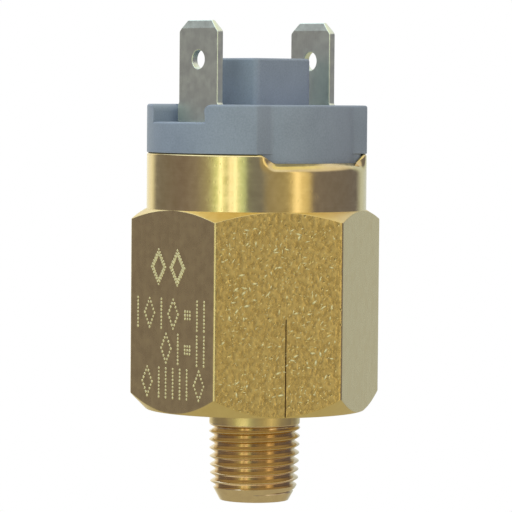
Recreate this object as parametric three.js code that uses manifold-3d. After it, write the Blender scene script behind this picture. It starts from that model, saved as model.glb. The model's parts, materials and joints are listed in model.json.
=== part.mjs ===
// An adjustable diaphragm pressure switch: a hexagonal brass body with a tapered port
// thread, and a plastic head with two blade terminals, held by the body's crimped collar.
// Pressure at the port lifts a diaphragm, a piston and a contact bridge against a spring,
// and a screw in the head sets the spring's load.
//
// Millimetres. +Z runs up the port's axis from the thread's end face, and the two blade
// terminals stand at -Y (front) and +Y (rear).

import * as THREE from "three";
import { mergeVertices } from "three/addons/utils/BufferGeometryUtils.js";
import Module from "manifold-3d";

const wasm = await Module();
wasm.setup();

// ---------------------------------------------------------------- driving dimensions

// Port thread: R 1/8, 28 threads an inch, 1 in 16 taper, right-hand.
const PITCH = 25.4 / 28;
const THREAD_DEPTH = 0.6403 * PITCH;
const GAUGE_RADIUS = 9.728 / 2;
const GAUGE_HEIGHT = 4.0;
const TAPER = 1 / 32; // growth of the radius along Z
const CREST_FLAT = 0.14; // share of the pitch
const THREAD_TOP = 8.4;
const TIP_RADIUS = 3.76;
const TIP_SLOPE = 0.545; // radius gained per millimetre along the entry chamfer
const NECK_RADIUS = 4.93;
const THREAD_SEGMENTS = 32;

// Hexagon, 24 across flats.
const ACROSS_FLATS = 24;
const HEX_BOTTOM = 9.94;
const HEX_TOP = 31.68;
const HEX_EDGE_RADIUS = 13.81; // the vertical edges are broken to this radius
const HEX_FOOT_RADIUS = 11.9;
const HEX_SHOULDER_RADIUS = 12.05;
const TOP_CHAMFER_RISE = 1.05;

// Collar, with its rim crimped inwards at +X and -X.
const COLLAR_RADIUS = 12.0;
const COLLAR_WALL = 0.55;
const COLLAR_TOP = 37.75;
const RIM_EDGE = 0.2;
const CRIMP_FULL = 31; // degrees either side of X where the lip is fully bent
const CRIMP_END = 40; // degrees either side of X where it is straight again
const BEND_START = 35.7;
const BEND_RADIUS = 0.75; // of the wall's middle
const BEND_ANGLE = 53; // degrees
const BENT_LENGTH = 1.34; // of the bent lip, along its middle
const ROUND = 80; // segments of the large rounds
const FINE = 40; // segments of the small rounds

// Cavity inside the brass.
const PORT_RADIUS = 1.75;
const CHAMBER_RADIUS = 7.2;
const CHAMBER_FLOOR = 13.0;
const DIAPHRAGM_SEAT = 14.0;
const BORE_RADIUS = 10.0;
const HEAD_SEAT = 31.2;
const FIT = 0.1; // radial clearance of the pieces stacked in the bore

// Stack above the seat. The diaphragm is dished: its middle stands above its rim.
const DIAPHRAGM_THICKNESS = 0.6;
const DIAPHRAGM_RISE = 0.8;
const CLAMP_HEIGHT = 3.0;
const GUIDE_THICKNESS = 1.0;
const SLEEVE_BORE = 7.8;
const SLEEVE_TOP = 28.0;

// Piston and contact bridge.
const PISTON_RADIUS = 6.5;
const PISTON_FOOT = 1.2;
const STEM_RADIUS = 3.0;
const STEM_TOP = 23.5;
const PIN_RADIUS = 1.5;
const PIN_LENGTH = 2.3;
const CARRIER_FLANGE = 1.5;
const CARRIER_RADIUS = 4.0;
const HUB_RADIUS = 2.4;
const HUB_LENGTH = 2.2;
const BRIDGE_THICKNESS = 0.8;
const BRIDGE_LENGTH = 14.4;
const BRIDGE_WIDTH = 4.6;
const BRIDGE_DISC = 4.3;
const SPRING_SEAT_THICKNESS = 0.8;
const CONTACT_OFFSET = 5.7; // of the contacts from the axis
const CONTACT_RADIUS = 1.2;
const CONTACT_HEIGHT = 0.7;
const SLIDE_FIT = 0.05; // radial clearance of the sliding and turning pieces

// Range spring, its upper plate and the adjusting screw.
const SPRING_RADIUS = 3.15;
const SPRING_WIRE = 0.45; // wire radius
const SPRING_TURNS = 7.5;
const SPRING_BORE = 4.2;
const SPRING_BORE_TOP = 41.6;
const PLATE_RADIUS = 4.0;
const PLATE_THICKNESS = 1.0;
const PLATE_BOSS_RADIUS = 2.3;
const SCREW_RADIUS = 2.45;
const SCREW_BOTTOM = 40.2;
const SCREW_LENGTH = 6.0;
const SLOT_WIDTH = 0.9;
const SLOT_DEPTH = 1.5;
const INSERT_RADIUS = 3.25;
const INSERT_BOTTOM = 41.8;
const INSERT_TOP = 47.0;
const MOUTH_RADIUS = 2.8;

// Plastic head.
const SKIRT_BOTTOM = 32.2;
const SKIRT_RADIUS = 11.35;
const FLANGE_BOTTOM = 37.9;
const FLANGE_RADIUS = 11.95;
const DECK = 43.0;
const DECK_EDGE = 0.3;
const HEAD_BOTTOM = 28.8;
const SHOULDER_X = 8.95; // flat walls either side of each crimp recess
const RECESS_RADIUS = 10.68;
const RELIEF_X = 8.3; // wider hidden relief round the bent lip
const RELIEF_BOTTOM = 35.5;
const RELIEF_RADIUS = 10.6;
const NOTCH_HALF_WIDTH = 4.15;
const NOTCH_FLOOR = 41.1;
const NOTCH_INNER = 7.62;
const TOWER_HALF_X = 4.3;
const TOWER_HALF_Y = 4.05;
const TOWER_TOP = 48.0;
const TOWER_CORNER = 0.8;
const TOWER_EDGE = 0.4;
const SEAL_RADIUS = 10.7;
const SEAL_SECTION = 0.5;

// Blade terminals, 6.3 x 0.8.
const BLADE_WIDTH = 6.3;
const BLADE_THICKNESS = 0.8;
const BLADE_OFFSET = 8.1; // of the blade's middle plane from the axis
const BLADE_TOP = 52.0;
const BLADE_CORNER = 1.2;
const BLADE_LEAD = 0.87; // height of the bevel at the tip
const BLADE_TIP_THICKNESS = 0.35;
const BLADE_HOLE_RADIUS = 1.0;
const BLADE_HOLE_HEIGHT = 47.8;
const BLADE_SHOULDER_WIDTH = 6.7;
const BLADE_SHOULDER_TOP = 43.2;
const BLADE_SHOULDER_BOTTOM = 41.1;
const BLADE_STEM_WIDTH = 4.0;
const FOOT_INNER = 4.45;
const BLADE_SLOT_FIT = 0.06;
const RIVET_SHANK = 0.7;
const RIVET_TAIL_RADIUS = 1.0;
const RIVET_TAIL = 0.4;

// ---------------------------------------------------------------- solids

// A closed surface as a solid, with its faces turned outwards.
function solid(geometry) {
  const bare = geometry.clone();
  bare.deleteAttribute("normal");
  bare.deleteAttribute("uv");
  const merged = mergeVertices(bare, 1e-4);
  const triVerts = new Uint32Array(merged.index.array);
  const build = () =>
    new wasm.Manifold(
      new wasm.Mesh({ numProp: 3, vertProperties: merged.attributes.position.array, triVerts }),
    );
  const made = build();
  if (made.volume() > 0) return made;
  for (let i = 0; i < triVerts.length; i += 3)
    [triVerts[i + 1], triVerts[i + 2]] = [triVerts[i + 2], triVerts[i + 1]];
  return build();
}

// A solid back as a closed surface.
function geometryOf(manifold) {
  const mesh = manifold.getMesh();
  const geometry = new THREE.BufferGeometry();
  const points = new Float32Array(mesh.numVert * 3);
  for (let i = 0; i < mesh.numVert; i++)
    points.set(mesh.vertProperties.subarray(i * mesh.numProp, i * mesh.numProp + 3), i * 3);
  geometry.setAttribute("position", new THREE.BufferAttribute(points, 3));
  geometry.setIndex(new THREE.BufferAttribute(mesh.triVerts, 1));
  geometry.computeVertexNormals();
  return geometry;
}

// A body of revolution about Z from [radius, z] points; a profile off the axis is closed.
function turned(points, segments) {
  const profile = points.map(([r, z]) => new THREE.Vector2(r, z));
  const onAxis = points[0][0] === 0 && points[points.length - 1][0] === 0;
  if (!onAxis) profile.push(profile[0].clone());
  return solid(new THREE.LatheGeometry(profile, segments).rotateX(Math.PI / 2));
}

const disc = (radius, bottom, top, segments = FINE) =>
  turned([[0, bottom], [radius, bottom], [radius, top], [0, top]], segments);

const ring = (inner, outer, bottom, top, segments = FINE) =>
  turned([[inner, bottom], [outer, bottom], [outer, top], [inner, top]], segments);

function block(x0, x1, y0, y1, z0, z1) {
  const box = new THREE.BoxGeometry(x1 - x0, y1 - y0, z1 - z0);
  return solid(box.translate((x0 + x1) / 2, (y0 + y1) / 2, (z0 + z1) / 2));
}

// An outline in X and Y, raised from one height to another.
function raised(shape, bottom, top, curveSegments = 12) {
  const settings = { depth: top - bottom, bevelEnabled: false, curveSegments };
  return solid(new THREE.ExtrudeGeometry(shape, settings).translate(0, 0, bottom));
}

function roundedRectangle(halfX, halfY, radius) {
  const shape = new THREE.Shape();
  shape.moveTo(halfX, -halfY + radius);
  shape.absarc(halfX - radius, halfY - radius, radius, 0, Math.PI / 2, false);
  shape.absarc(-halfX + radius, halfY - radius, radius, Math.PI / 2, Math.PI, false);
  shape.absarc(-halfX + radius, -halfY + radius, radius, Math.PI, 1.5 * Math.PI, false);
  shape.absarc(halfX - radius, -halfY + radius, radius, 1.5 * Math.PI, 2 * Math.PI, false);
  return shape;
}

const group = new THREE.Group();

const MATERIALS = {
  brass: { color: 0xc9a566, roughness: 0.35, metalness: 1 },
  platedSteel: { color: 0xb9b4a6, roughness: 0.35, metalness: 1 },
  plastic: { color: 0x82919b, roughness: 0.6, metalness: 0 },
  darkPlastic: { color: 0x2a2b2e, roughness: 0.6, metalness: 0 },
  rubber: { color: 0x1d1d1f, roughness: 0.8, metalness: 0 },
  silver: { color: 0xd8d8d6, roughness: 0.25, metalness: 1 },
  steel: { color: 0x8f9296, roughness: 0.4, metalness: 1 },
};

function addPiece(name, manifold, material) {
  const mesh = new THREE.Mesh(
    geometryOf(manifold),
    new THREE.MeshStandardMaterial({ name: material, ...MATERIALS[material] }),
  );
  mesh.name = name;
  group.add(mesh);
}

// ---------------------------------------------------------------- brass body

const crestRadius = (z) => GAUGE_RADIUS + (z - GAUGE_HEIGHT) * TAPER;

// A helical ridge: a zigzag profile turned about the axis and raised by one pitch in each
// turn. Every vertex's radius follows its final height, so the seam meets itself, and the
// two open ends are closed by a flat step face.
function helicalRidge() {
  const start = -2 * PITCH;
  const turns = Math.ceil((THREAD_TOP + 4 * PITCH) / PITCH);
  const rootDepth = [THREAD_DEPTH, 0, 0];
  const phases = [0, 0.5 - CREST_FLAT / 2, 0.5 + CREST_FLAT / 2];
  const rows = [];
  for (let turn = 0; turn < turns; turn++)
    phases.forEach((phase, k) => rows.push({ z: start + (turn + phase) * PITCH, depth: rootDepth[k] }));
  rows.push({ z: start + turns * PITCH, depth: THREAD_DEPTH });

  const radiusAt = (z, depth) => crestRadius(z) - depth;
  const profile = [new THREE.Vector2(0, rows[0].z)];
  rows.forEach((row) => profile.push(new THREE.Vector2(radiusAt(row.z, row.depth), row.z)));
  profile.push(new THREE.Vector2(0, rows[rows.length - 1].z));

  const lathe = new THREE.LatheGeometry(profile, THREAD_SEGMENTS);
  const position = lathe.attributes.position;
  for (let i = 0; i < position.count; i++) {
    const column = Math.floor(i / profile.length);
    const row = i % profile.length;
    const angle = (column / THREAD_SEGMENTS) * 2 * Math.PI;
    const onAxis = row === 0 || row === profile.length - 1;
    const z = profile[row].y + (onAxis ? 0 : (PITCH * angle) / (2 * Math.PI));
    const radius = onAxis ? 0 : radiusAt(z, rows[row - 1].depth);
    position.setXYZ(i, radius * Math.sin(angle), z, radius * Math.cos(angle));
  }

  // The step face at each end lies in the seam's plane, between the first and last columns.
  const stepFace = (axisZ, first) => {
    const corners = [new THREE.Vector2(0, axisZ)];
    for (let k = 0; k <= phases.length; k++) {
      const z = first + (k === phases.length ? 1 : phases[k]) * PITCH;
      corners.push(new THREE.Vector2(radiusAt(z, k % phases.length ? 0 : THREAD_DEPTH), z));
    }
    return corners;
  };
  const top = rows[rows.length - 1].z;
  const bottomStep = stepFace(start, start);
  const topStep = stepFace(top, top);
  const points = Array.from(position.array);
  const indices = Array.from(lathe.index.array);
  const addFan = (corners, reversed) => {
    const base = points.length / 3;
    corners.forEach((corner) => points.push(0, corner.y, corner.x));
    for (let k = 1; k < corners.length - 1; k++)
      indices.push(base, base + (reversed ? k : k + 1), base + (reversed ? k + 1 : k));
  };
  addFan(bottomStep, true);
  addFan(topStep, false);
  const closed = new THREE.BufferGeometry();
  closed.setAttribute("position", new THREE.Float32BufferAttribute(points, 3));
  closed.setIndex(indices);
  return solid(closed.rotateX(Math.PI / 2));
}

function portThread() {
  const outer = crestRadius(THREAD_TOP) + 0.2;
  const chamferTop = (outer - TIP_RADIUS) / TIP_SLOPE;
  const envelope = turned(
    [[0, 0], [TIP_RADIUS, 0], [outer, chamferTop], [outer, THREAD_TOP], [0, THREAD_TOP]],
    FINE,
  );
  return helicalRidge().intersect(envelope);
}

function hexagon() {
  const shape = new THREE.Shape();
  const corner = ACROSS_FLATS / Math.sqrt(3);
  for (let k = 0; k < 6; k++) {
    const angle = (k * Math.PI) / 3;
    shape[k ? "lineTo" : "moveTo"](corner * Math.cos(angle), corner * Math.sin(angle));
  }
  const footRise = HEX_EDGE_RADIUS - HEX_FOOT_RADIUS;
  const chamfers = turned(
    [
      [0, HEX_BOTTOM],
      [HEX_FOOT_RADIUS, HEX_BOTTOM],
      [HEX_EDGE_RADIUS, HEX_BOTTOM + footRise],
      [HEX_EDGE_RADIUS, HEX_TOP - TOP_CHAMFER_RISE],
      [HEX_SHOULDER_RADIUS, HEX_TOP],
      [0, HEX_TOP],
    ],
    ROUND,
  );
  return raised(shape, HEX_BOTTOM - 1, HEX_TOP + 1).intersect(chamfers);
}

// How far the collar's lip is bent at an angle from X: 1 on the crimp, 0 away from it.
function crimpShare(angle) {
  const fromX = Math.abs(THREE.MathUtils.radToDeg(Math.asin(Math.cos(angle))));
  return 1 - THREE.MathUtils.smoothstep(fromX, CRIMP_FULL, CRIMP_END);
}

// A point of the bent lip, at a distance along the wall's middle from the bend's start and
// an offset outwards from that middle.
function bentPoint(along, offset) {
  const fullTurn = THREE.MathUtils.degToRad(BEND_ANGLE);
  const turn = Math.min(along / BEND_RADIUS, fullTurn);
  const straight = Math.max(along - BEND_RADIUS * fullTurn, 0);
  const middle = COLLAR_RADIUS - COLLAR_WALL / 2;
  return [
    middle - BEND_RADIUS + (BEND_RADIUS + offset) * Math.cos(turn) - straight * Math.sin(turn),
    BEND_START + (BEND_RADIUS + offset) * Math.sin(turn) + straight * Math.cos(turn),
  ];
}

// The collar's section as pairs of points, straight and bent, counter-clockwise from its foot.
function collarSection() {
  const inner = COLLAR_RADIUS - COLLAR_WALL;
  const height = COLLAR_TOP - BEND_START;
  const shares = [0, 0.2, 0.4, 0.6, 0.8];
  const lip = (radius, z, offset) => ({
    straight: [radius, z],
    bent: bentPoint(((z - BEND_START) / height) * BENT_LENGTH, offset),
  });
  const still = (radius, z) => ({ straight: [radius, z], bent: [radius, z] });
  const half = COLLAR_WALL / 2;
  const edge = RIM_EDGE;
  return [
    still(COLLAR_RADIUS, HEX_TOP - 0.3),
    ...shares.map((share) => lip(COLLAR_RADIUS, BEND_START + share * height, half)),
    lip(COLLAR_RADIUS, COLLAR_TOP - edge, half),
    lip(COLLAR_RADIUS - 0.3 * edge, COLLAR_TOP - 0.3 * edge, half - 0.3 * edge),
    lip(COLLAR_RADIUS - edge, COLLAR_TOP, half - edge),
    lip(inner, COLLAR_TOP, -half),
    ...shares.toReversed().map((share) => lip(inner, BEND_START + share * height, -half)),
    still(inner, HEX_TOP - 0.3),
  ];
}

function crimpedCollar() {
  const section = collarSection();
  const profile = [...section, section[0]].map((p) => new THREE.Vector2(...p.straight));
  const lathe = new THREE.LatheGeometry(profile, ROUND);
  const position = lathe.attributes.position;
  for (let i = 0; i < position.count; i++) {
    const angle = (Math.floor(i / profile.length) / ROUND) * 2 * Math.PI;
    const { straight, bent } = section[(i % profile.length) % section.length];
    const share = crimpShare(angle);
    const radius = THREE.MathUtils.lerp(straight[0], bent[0], share);
    const height = THREE.MathUtils.lerp(straight[1], bent[1], share);
    position.setXYZ(i, radius * Math.sin(angle), height, radius * Math.cos(angle));
  }
  return solid(lathe.rotateX(Math.PI / 2));
}

function brassBody() {
  const neck = disc(NECK_RADIUS, THREAD_TOP - 0.2, HEX_BOTTOM + 0.2);
  const cavity = turned(
    [
      [0, -1],
      [PORT_RADIUS, -1],
      [PORT_RADIUS, CHAMBER_FLOOR],
      [CHAMBER_RADIUS, CHAMBER_FLOOR],
      [CHAMBER_RADIUS, DIAPHRAGM_SEAT],
      [BORE_RADIUS, DIAPHRAGM_SEAT],
      [BORE_RADIUS, HEAD_SEAT],
      [COLLAR_RADIUS - COLLAR_WALL, HEAD_SEAT],
      [COLLAR_RADIUS - COLLAR_WALL, HEX_TOP + 1],
      [0, HEX_TOP + 1],
    ],
    FINE,
  );
  return portThread().add(neck).add(hexagon()).subtract(cavity).add(crimpedCollar());
}

// ---------------------------------------------------------------- pieces in the bore

const RIM_TOP = DIAPHRAGM_SEAT + DIAPHRAGM_THICKNESS;
const DIAPHRAGM_TOP = RIM_TOP + DIAPHRAGM_RISE;
const CLAMP_TOP = RIM_TOP + CLAMP_HEIGHT;
const GUIDE_TOP = CLAMP_TOP + GUIDE_THICKNESS;
const STACK_RADIUS = BORE_RADIUS - FIT;
const BRIDGE_BOTTOM = STEM_TOP + CARRIER_FLANGE;
const BRIDGE_TOP = BRIDGE_BOTTOM + BRIDGE_THICKNESS;
const SPRING_BOTTOM = BRIDGE_TOP + SPRING_SEAT_THICKNESS;
const PLATE_BOTTOM = SCREW_BOTTOM - PLATE_THICKNESS;

// A rubber disc whose clamped rim is joined by a sloping wall to its raised middle.
function diaphragm() {
  const underside = DIAPHRAGM_SEAT + DIAPHRAGM_RISE;
  return turned(
    [
      [0, underside],
      [PISTON_RADIUS - 0.4, underside],
      [PISTON_RADIUS + 0.3, DIAPHRAGM_SEAT],
      [STACK_RADIUS, DIAPHRAGM_SEAT],
      [STACK_RADIUS, RIM_TOP],
      [PISTON_RADIUS + 0.6, RIM_TOP],
      [PISTON_RADIUS, DIAPHRAGM_TOP],
      [0, DIAPHRAGM_TOP],
    ],
    FINE,
  );
}

function piston() {
  const foot = DIAPHRAGM_TOP + PISTON_FOOT;
  return turned(
    [
      [0, DIAPHRAGM_TOP],
      [PISTON_RADIUS - 0.3, DIAPHRAGM_TOP],
      [PISTON_RADIUS, DIAPHRAGM_TOP + 0.3],
      [PISTON_RADIUS, foot],
      [STEM_RADIUS, foot],
      [STEM_RADIUS, STEM_TOP],
      [PIN_RADIUS, STEM_TOP],
      [PIN_RADIUS, STEM_TOP + PIN_LENGTH],
      [0, STEM_TOP + PIN_LENGTH],
    ],
    FINE,
  );
}

function contactCarrier() {
  const flangeTop = STEM_TOP + CARRIER_FLANGE;
  const body = turned(
    [
      [0, STEM_TOP],
      [CARRIER_RADIUS, STEM_TOP],
      [CARRIER_RADIUS, flangeTop],
      [HUB_RADIUS, flangeTop],
      [HUB_RADIUS, flangeTop + HUB_LENGTH],
      [0, flangeTop + HUB_LENGTH],
    ],
    FINE,
  );
  return body.subtract(disc(PIN_RADIUS + SLIDE_FIT, STEM_TOP - 1, STEM_TOP + PIN_LENGTH + 0.1));
}

function contactBridge() {
  const strip = roundedRectangle(BRIDGE_WIDTH / 2, BRIDGE_LENGTH / 2, BRIDGE_WIDTH / 2 - 0.1);
  return raised(strip, BRIDGE_BOTTOM, BRIDGE_TOP)
    .add(disc(BRIDGE_DISC, BRIDGE_BOTTOM, BRIDGE_TOP))
    .subtract(disc(HUB_RADIUS + SLIDE_FIT, BRIDGE_BOTTOM - 1, BRIDGE_TOP + 1));
}

// A spring wound from the lower seat to the upper plate, with its end turns closed.
class SpringCurve extends THREE.Curve {
  getPoint(t, target = new THREE.Vector3()) {
    const closedShare = 1 / SPRING_TURNS;
    const wire = 2 * SPRING_WIRE + 0.1;
    const bottom = SPRING_BOTTOM + SPRING_WIRE + 0.02;
    const top = PLATE_BOTTOM - SPRING_WIRE - 0.02;
    const active = (t - closedShare) / (1 - 2 * closedShare);
    let height = bottom + wire + (top - bottom - 2 * wire) * active;
    if (t < closedShare) height = bottom + (wire * t) / closedShare;
    if (t > 1 - closedShare) height = top - (wire * (1 - t)) / closedShare;
    const angle = 2 * Math.PI * SPRING_TURNS * t;
    return target.set(SPRING_RADIUS * Math.cos(angle), SPRING_RADIUS * Math.sin(angle), height);
  }
}

function rangeSpring() {
  const section = new THREE.Shape().absarc(0, 0, SPRING_WIRE, 0, 2 * Math.PI, false);
  const steps = Math.round(SPRING_TURNS * 12);
  const settings = { steps, curveSegments: 4, bevelEnabled: false, extrudePath: new SpringCurve() };
  return solid(new THREE.ExtrudeGeometry(section, settings));
}

function upperSpringPlate() {
  return disc(PLATE_RADIUS, PLATE_BOTTOM, SCREW_BOTTOM).add(
    disc(PLATE_BOSS_RADIUS, PLATE_BOTTOM - 0.8, PLATE_BOTTOM + 0.2),
  );
}

function adjustingScrew() {
  const top = SCREW_BOTTOM + SCREW_LENGTH;
  const shank = turned(
    [
      [0, SCREW_BOTTOM],
      [SCREW_RADIUS - 0.5, SCREW_BOTTOM],
      [SCREW_RADIUS, SCREW_BOTTOM + 0.5],
      [SCREW_RADIUS, top - 0.3],
      [SCREW_RADIUS - 0.3, top],
      [0, top],
    ],
    FINE,
  );
  const reach = SCREW_RADIUS + 1;
  return shank.subtract(
    block(-reach, reach, -SLOT_WIDTH / 2, SLOT_WIDTH / 2, top - SLOT_DEPTH, top + 1),
  );
}

function headSeal() {
  const section = [];
  const sides = 8;
  for (let k = 0; k < sides; k++) {
    const angle = (2 * Math.PI * (k + 0.5)) / sides;
    section.push([
      SEAL_RADIUS + SEAL_SECTION * Math.cos(angle),
      HEAD_SEAT + SEAL_SECTION + SEAL_SECTION * Math.sin(angle),
    ]);
  }
  return turned(section, FINE);
}

// ---------------------------------------------------------------- plastic head

// The part of a ring beyond the line at x, on both sides of the axis.
function outsideArc(x, innerRadius, bottom, top) {
  const outer = FLANGE_RADIUS + 1;
  const blocks = block(x, outer + 1, -outer, outer, bottom, top).add(
    block(-outer - 1, -x, -outer, outer, bottom, top),
  );
  return blocks.subtract(disc(innerRadius, bottom - 1, top + 1, ROUND));
}

function tower() {
  const inset = TOWER_EDGE;
  const outline = roundedRectangle(TOWER_HALF_X - inset, TOWER_HALF_Y - inset, TOWER_CORNER - inset);
  const buried = 1.4;
  const settings = {
    depth: TOWER_TOP - DECK + buried - 2 * inset,
    bevelThickness: inset,
    bevelSize: inset,
    bevelSegments: 3,
    curveSegments: 3,
  };
  const block = new THREE.ExtrudeGeometry(outline, settings);
  return solid(block.translate(0, 0, DECK - buried + inset));
}

// The slot that a blade passes down through, and the pocket round its rivet.
function bladeOpening(side) {
  const fit = BLADE_SLOT_FIT;
  const near = side * (BLADE_OFFSET - BLADE_THICKNESS / 2 - fit);
  const far = side * (BLADE_OFFSET + BLADE_THICKNESS / 2 + fit);
  const [y0, y1] = [Math.min(near, far), Math.max(near, far)];
  const wide = BLADE_SHOULDER_WIDTH / 2 + fit;
  const narrow = BLADE_STEM_WIDTH / 2 + fit;
  const stem = block(-narrow, narrow, y0, y1, HEAD_BOTTOM - 1, NOTCH_FLOOR + 1);
  const shoulder = block(-wide, wide, y0, y1, BLADE_SHOULDER_BOTTOM - fit, DECK + 1);
  const pocket = disc(RIVET_TAIL_RADIUS + 0.2, HEAD_BOTTOM - 1, HEAD_BOTTOM + RIVET_TAIL + 0.2);
  return stem.add(shoulder).add(pocket.translate([0, side * CONTACT_OFFSET, 0]));
}

function rimNotch(side) {
  const outer = side * (FLANGE_RADIUS + 1);
  const inner = side * NOTCH_INNER;
  const [y0, y1] = [Math.min(inner, outer), Math.max(inner, outer)];
  return block(-NOTCH_HALF_WIDTH, NOTCH_HALF_WIDTH, y0, y1, NOTCH_FLOOR, DECK + 1);
}

function insulatorHead() {
  const outside = turned(
    [
      [0, HEAD_BOTTOM],
      [STACK_RADIUS, HEAD_BOTTOM],
      [STACK_RADIUS, SKIRT_BOTTOM],
      [SKIRT_RADIUS, SKIRT_BOTTOM],
      [SKIRT_RADIUS, FLANGE_BOTTOM],
      [FLANGE_RADIUS, FLANGE_BOTTOM],
      [FLANGE_RADIUS, DECK - DECK_EDGE],
      [FLANGE_RADIUS - 0.3 * DECK_EDGE, DECK - 0.3 * DECK_EDGE],
      [FLANGE_RADIUS - DECK_EDGE, DECK],
      [0, DECK],
    ],
    ROUND,
  );
  const bores = turned(
    [
      [0, HEAD_BOTTOM - 1],
      [SPRING_BORE, HEAD_BOTTOM - 1],
      [SPRING_BORE, SPRING_BORE_TOP],
      [INSERT_RADIUS + SLIDE_FIT, SPRING_BORE_TOP],
      [INSERT_RADIUS + SLIDE_FIT, INSERT_TOP],
      [MOUTH_RADIUS, INSERT_TOP],
      [MOUTH_RADIUS, TOWER_TOP + 1],
      [0, TOWER_TOP + 1],
    ],
    FINE,
  );
  let head = outside
    .subtract(outsideArc(SHOULDER_X, RECESS_RADIUS, FLANGE_BOTTOM - 0.4, DECK + 1))
    .subtract(outsideArc(RELIEF_X, RELIEF_RADIUS, RELIEF_BOTTOM, FLANGE_BOTTOM))
    .add(tower())
    .subtract(bores);
  for (const side of [-1, 1]) head = head.subtract(rimNotch(side)).subtract(bladeOpening(side));
  return head;
}

// ---------------------------------------------------------------- terminals and contacts

// The blade's outline in X and Z: a chamfered tip, a shoulder and a narrower stem.
function bladeOutline() {
  const half = BLADE_WIDTH / 2;
  const shoulder = BLADE_SHOULDER_WIDTH / 2;
  const stem = BLADE_STEM_WIDTH / 2;
  const foot = SLEEVE_TOP;
  const outline = new THREE.Shape();
  outline.moveTo(-stem, foot);
  outline.lineTo(stem, foot);
  outline.lineTo(stem, BLADE_SHOULDER_BOTTOM);
  outline.lineTo(shoulder, BLADE_SHOULDER_BOTTOM);
  outline.lineTo(shoulder, BLADE_SHOULDER_TOP - 0.3);
  outline.lineTo(half, BLADE_SHOULDER_TOP);
  outline.lineTo(half, BLADE_TOP - BLADE_CORNER);
  outline.lineTo(half - BLADE_CORNER, BLADE_TOP);
  outline.lineTo(-half + BLADE_CORNER, BLADE_TOP);
  outline.lineTo(-half, BLADE_TOP - BLADE_CORNER);
  outline.lineTo(-half, BLADE_SHOULDER_TOP);
  outline.lineTo(-shoulder, BLADE_SHOULDER_TOP - 0.3);
  outline.lineTo(-shoulder, BLADE_SHOULDER_BOTTOM);
  outline.lineTo(-stem, BLADE_SHOULDER_BOTTOM);
  outline.closePath();
  const hole = new THREE.Path();
  hole.absarc(0, BLADE_HOLE_HEIGHT, BLADE_HOLE_RADIUS, 0, 2 * Math.PI, true);
  outline.holes.push(hole);
  return outline;
}

// The wedge cut off each face at the blade's tip.
function tipBevel(side) {
  const depth = (BLADE_THICKNESS - BLADE_TIP_THICKNESS) / 2;
  const face = BLADE_THICKNESS / 2;
  const wedge = new THREE.Shape();
  wedge.moveTo(side * face, BLADE_TOP - BLADE_LEAD);
  wedge.lineTo(side * (face + 1), BLADE_TOP - BLADE_LEAD);
  wedge.lineTo(side * (face + 1), BLADE_TOP + 1);
  wedge.lineTo(side * (face - depth * (1 + 1 / BLADE_LEAD)), BLADE_TOP + 1);
  wedge.closePath();
  const cut = new THREE.ExtrudeGeometry(wedge, { depth: 2 * BLADE_WIDTH, bevelEnabled: false });
  // The wedge is drawn in Y and Z and runs along X.
  cut.translate(0, 0, -BLADE_WIDTH);
  cut.applyMatrix4(new THREE.Matrix4().set(0, 0, 1, 0, 1, 0, 0, 0, 0, 1, 0, 0, 0, 0, 0, 1));
  return solid(cut);
}

function terminal(side) {
  const flat = new THREE.ExtrudeGeometry(bladeOutline(), {
    depth: BLADE_THICKNESS,
    bevelEnabled: false,
    curveSegments: 16,
  });
  flat.rotateX(Math.PI / 2).translate(0, BLADE_THICKNESS / 2, 0);
  const blade = solid(flat).subtract(tipBevel(1)).subtract(tipBevel(-1));
  const placed = blade.translate([0, side * BLADE_OFFSET, 0]);
  const inner = side * FOOT_INNER;
  const outer = side * (BLADE_OFFSET + BLADE_THICKNESS / 2);
  const [y0, y1] = [Math.min(inner, outer), Math.max(inner, outer)];
  const half = BLADE_STEM_WIDTH / 2;
  const foot = block(-half, half, y0, y1, SLEEVE_TOP, HEAD_BOTTOM);
  const hole = disc(RIVET_SHANK + SLIDE_FIT, SLEEVE_TOP - 1, HEAD_BOTTOM + 1, 24);
  return placed.add(foot).subtract(hole.translate([0, side * CONTACT_OFFSET, 0]));
}

// A silver button riveted through the terminal's foot.
function fixedContact(side) {
  const face = SLEEVE_TOP - CONTACT_HEIGHT;
  const rivet = turned(
    [
      [0, face],
      [CONTACT_RADIUS - 0.2, face],
      [CONTACT_RADIUS, face + 0.2],
      [CONTACT_RADIUS, SLEEVE_TOP],
      [RIVET_SHANK, SLEEVE_TOP],
      [RIVET_SHANK, HEAD_BOTTOM],
      [RIVET_TAIL_RADIUS, HEAD_BOTTOM],
      [RIVET_TAIL_RADIUS, HEAD_BOTTOM + RIVET_TAIL],
      [0, HEAD_BOTTOM + RIVET_TAIL],
    ],
    24,
  );
  return rivet.translate([0, side * CONTACT_OFFSET, 0]);
}

function bridgeContact(side) {
  const top = BRIDGE_TOP + CONTACT_HEIGHT;
  const button = turned(
    [
      [0, BRIDGE_TOP],
      [CONTACT_RADIUS, BRIDGE_TOP],
      [CONTACT_RADIUS, top - 0.2],
      [CONTACT_RADIUS - 0.2, top],
      [0, top],
    ],
    24,
  );
  return button.translate([0, side * CONTACT_OFFSET, 0]);
}

// ---------------------------------------------------------------- assembly

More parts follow.
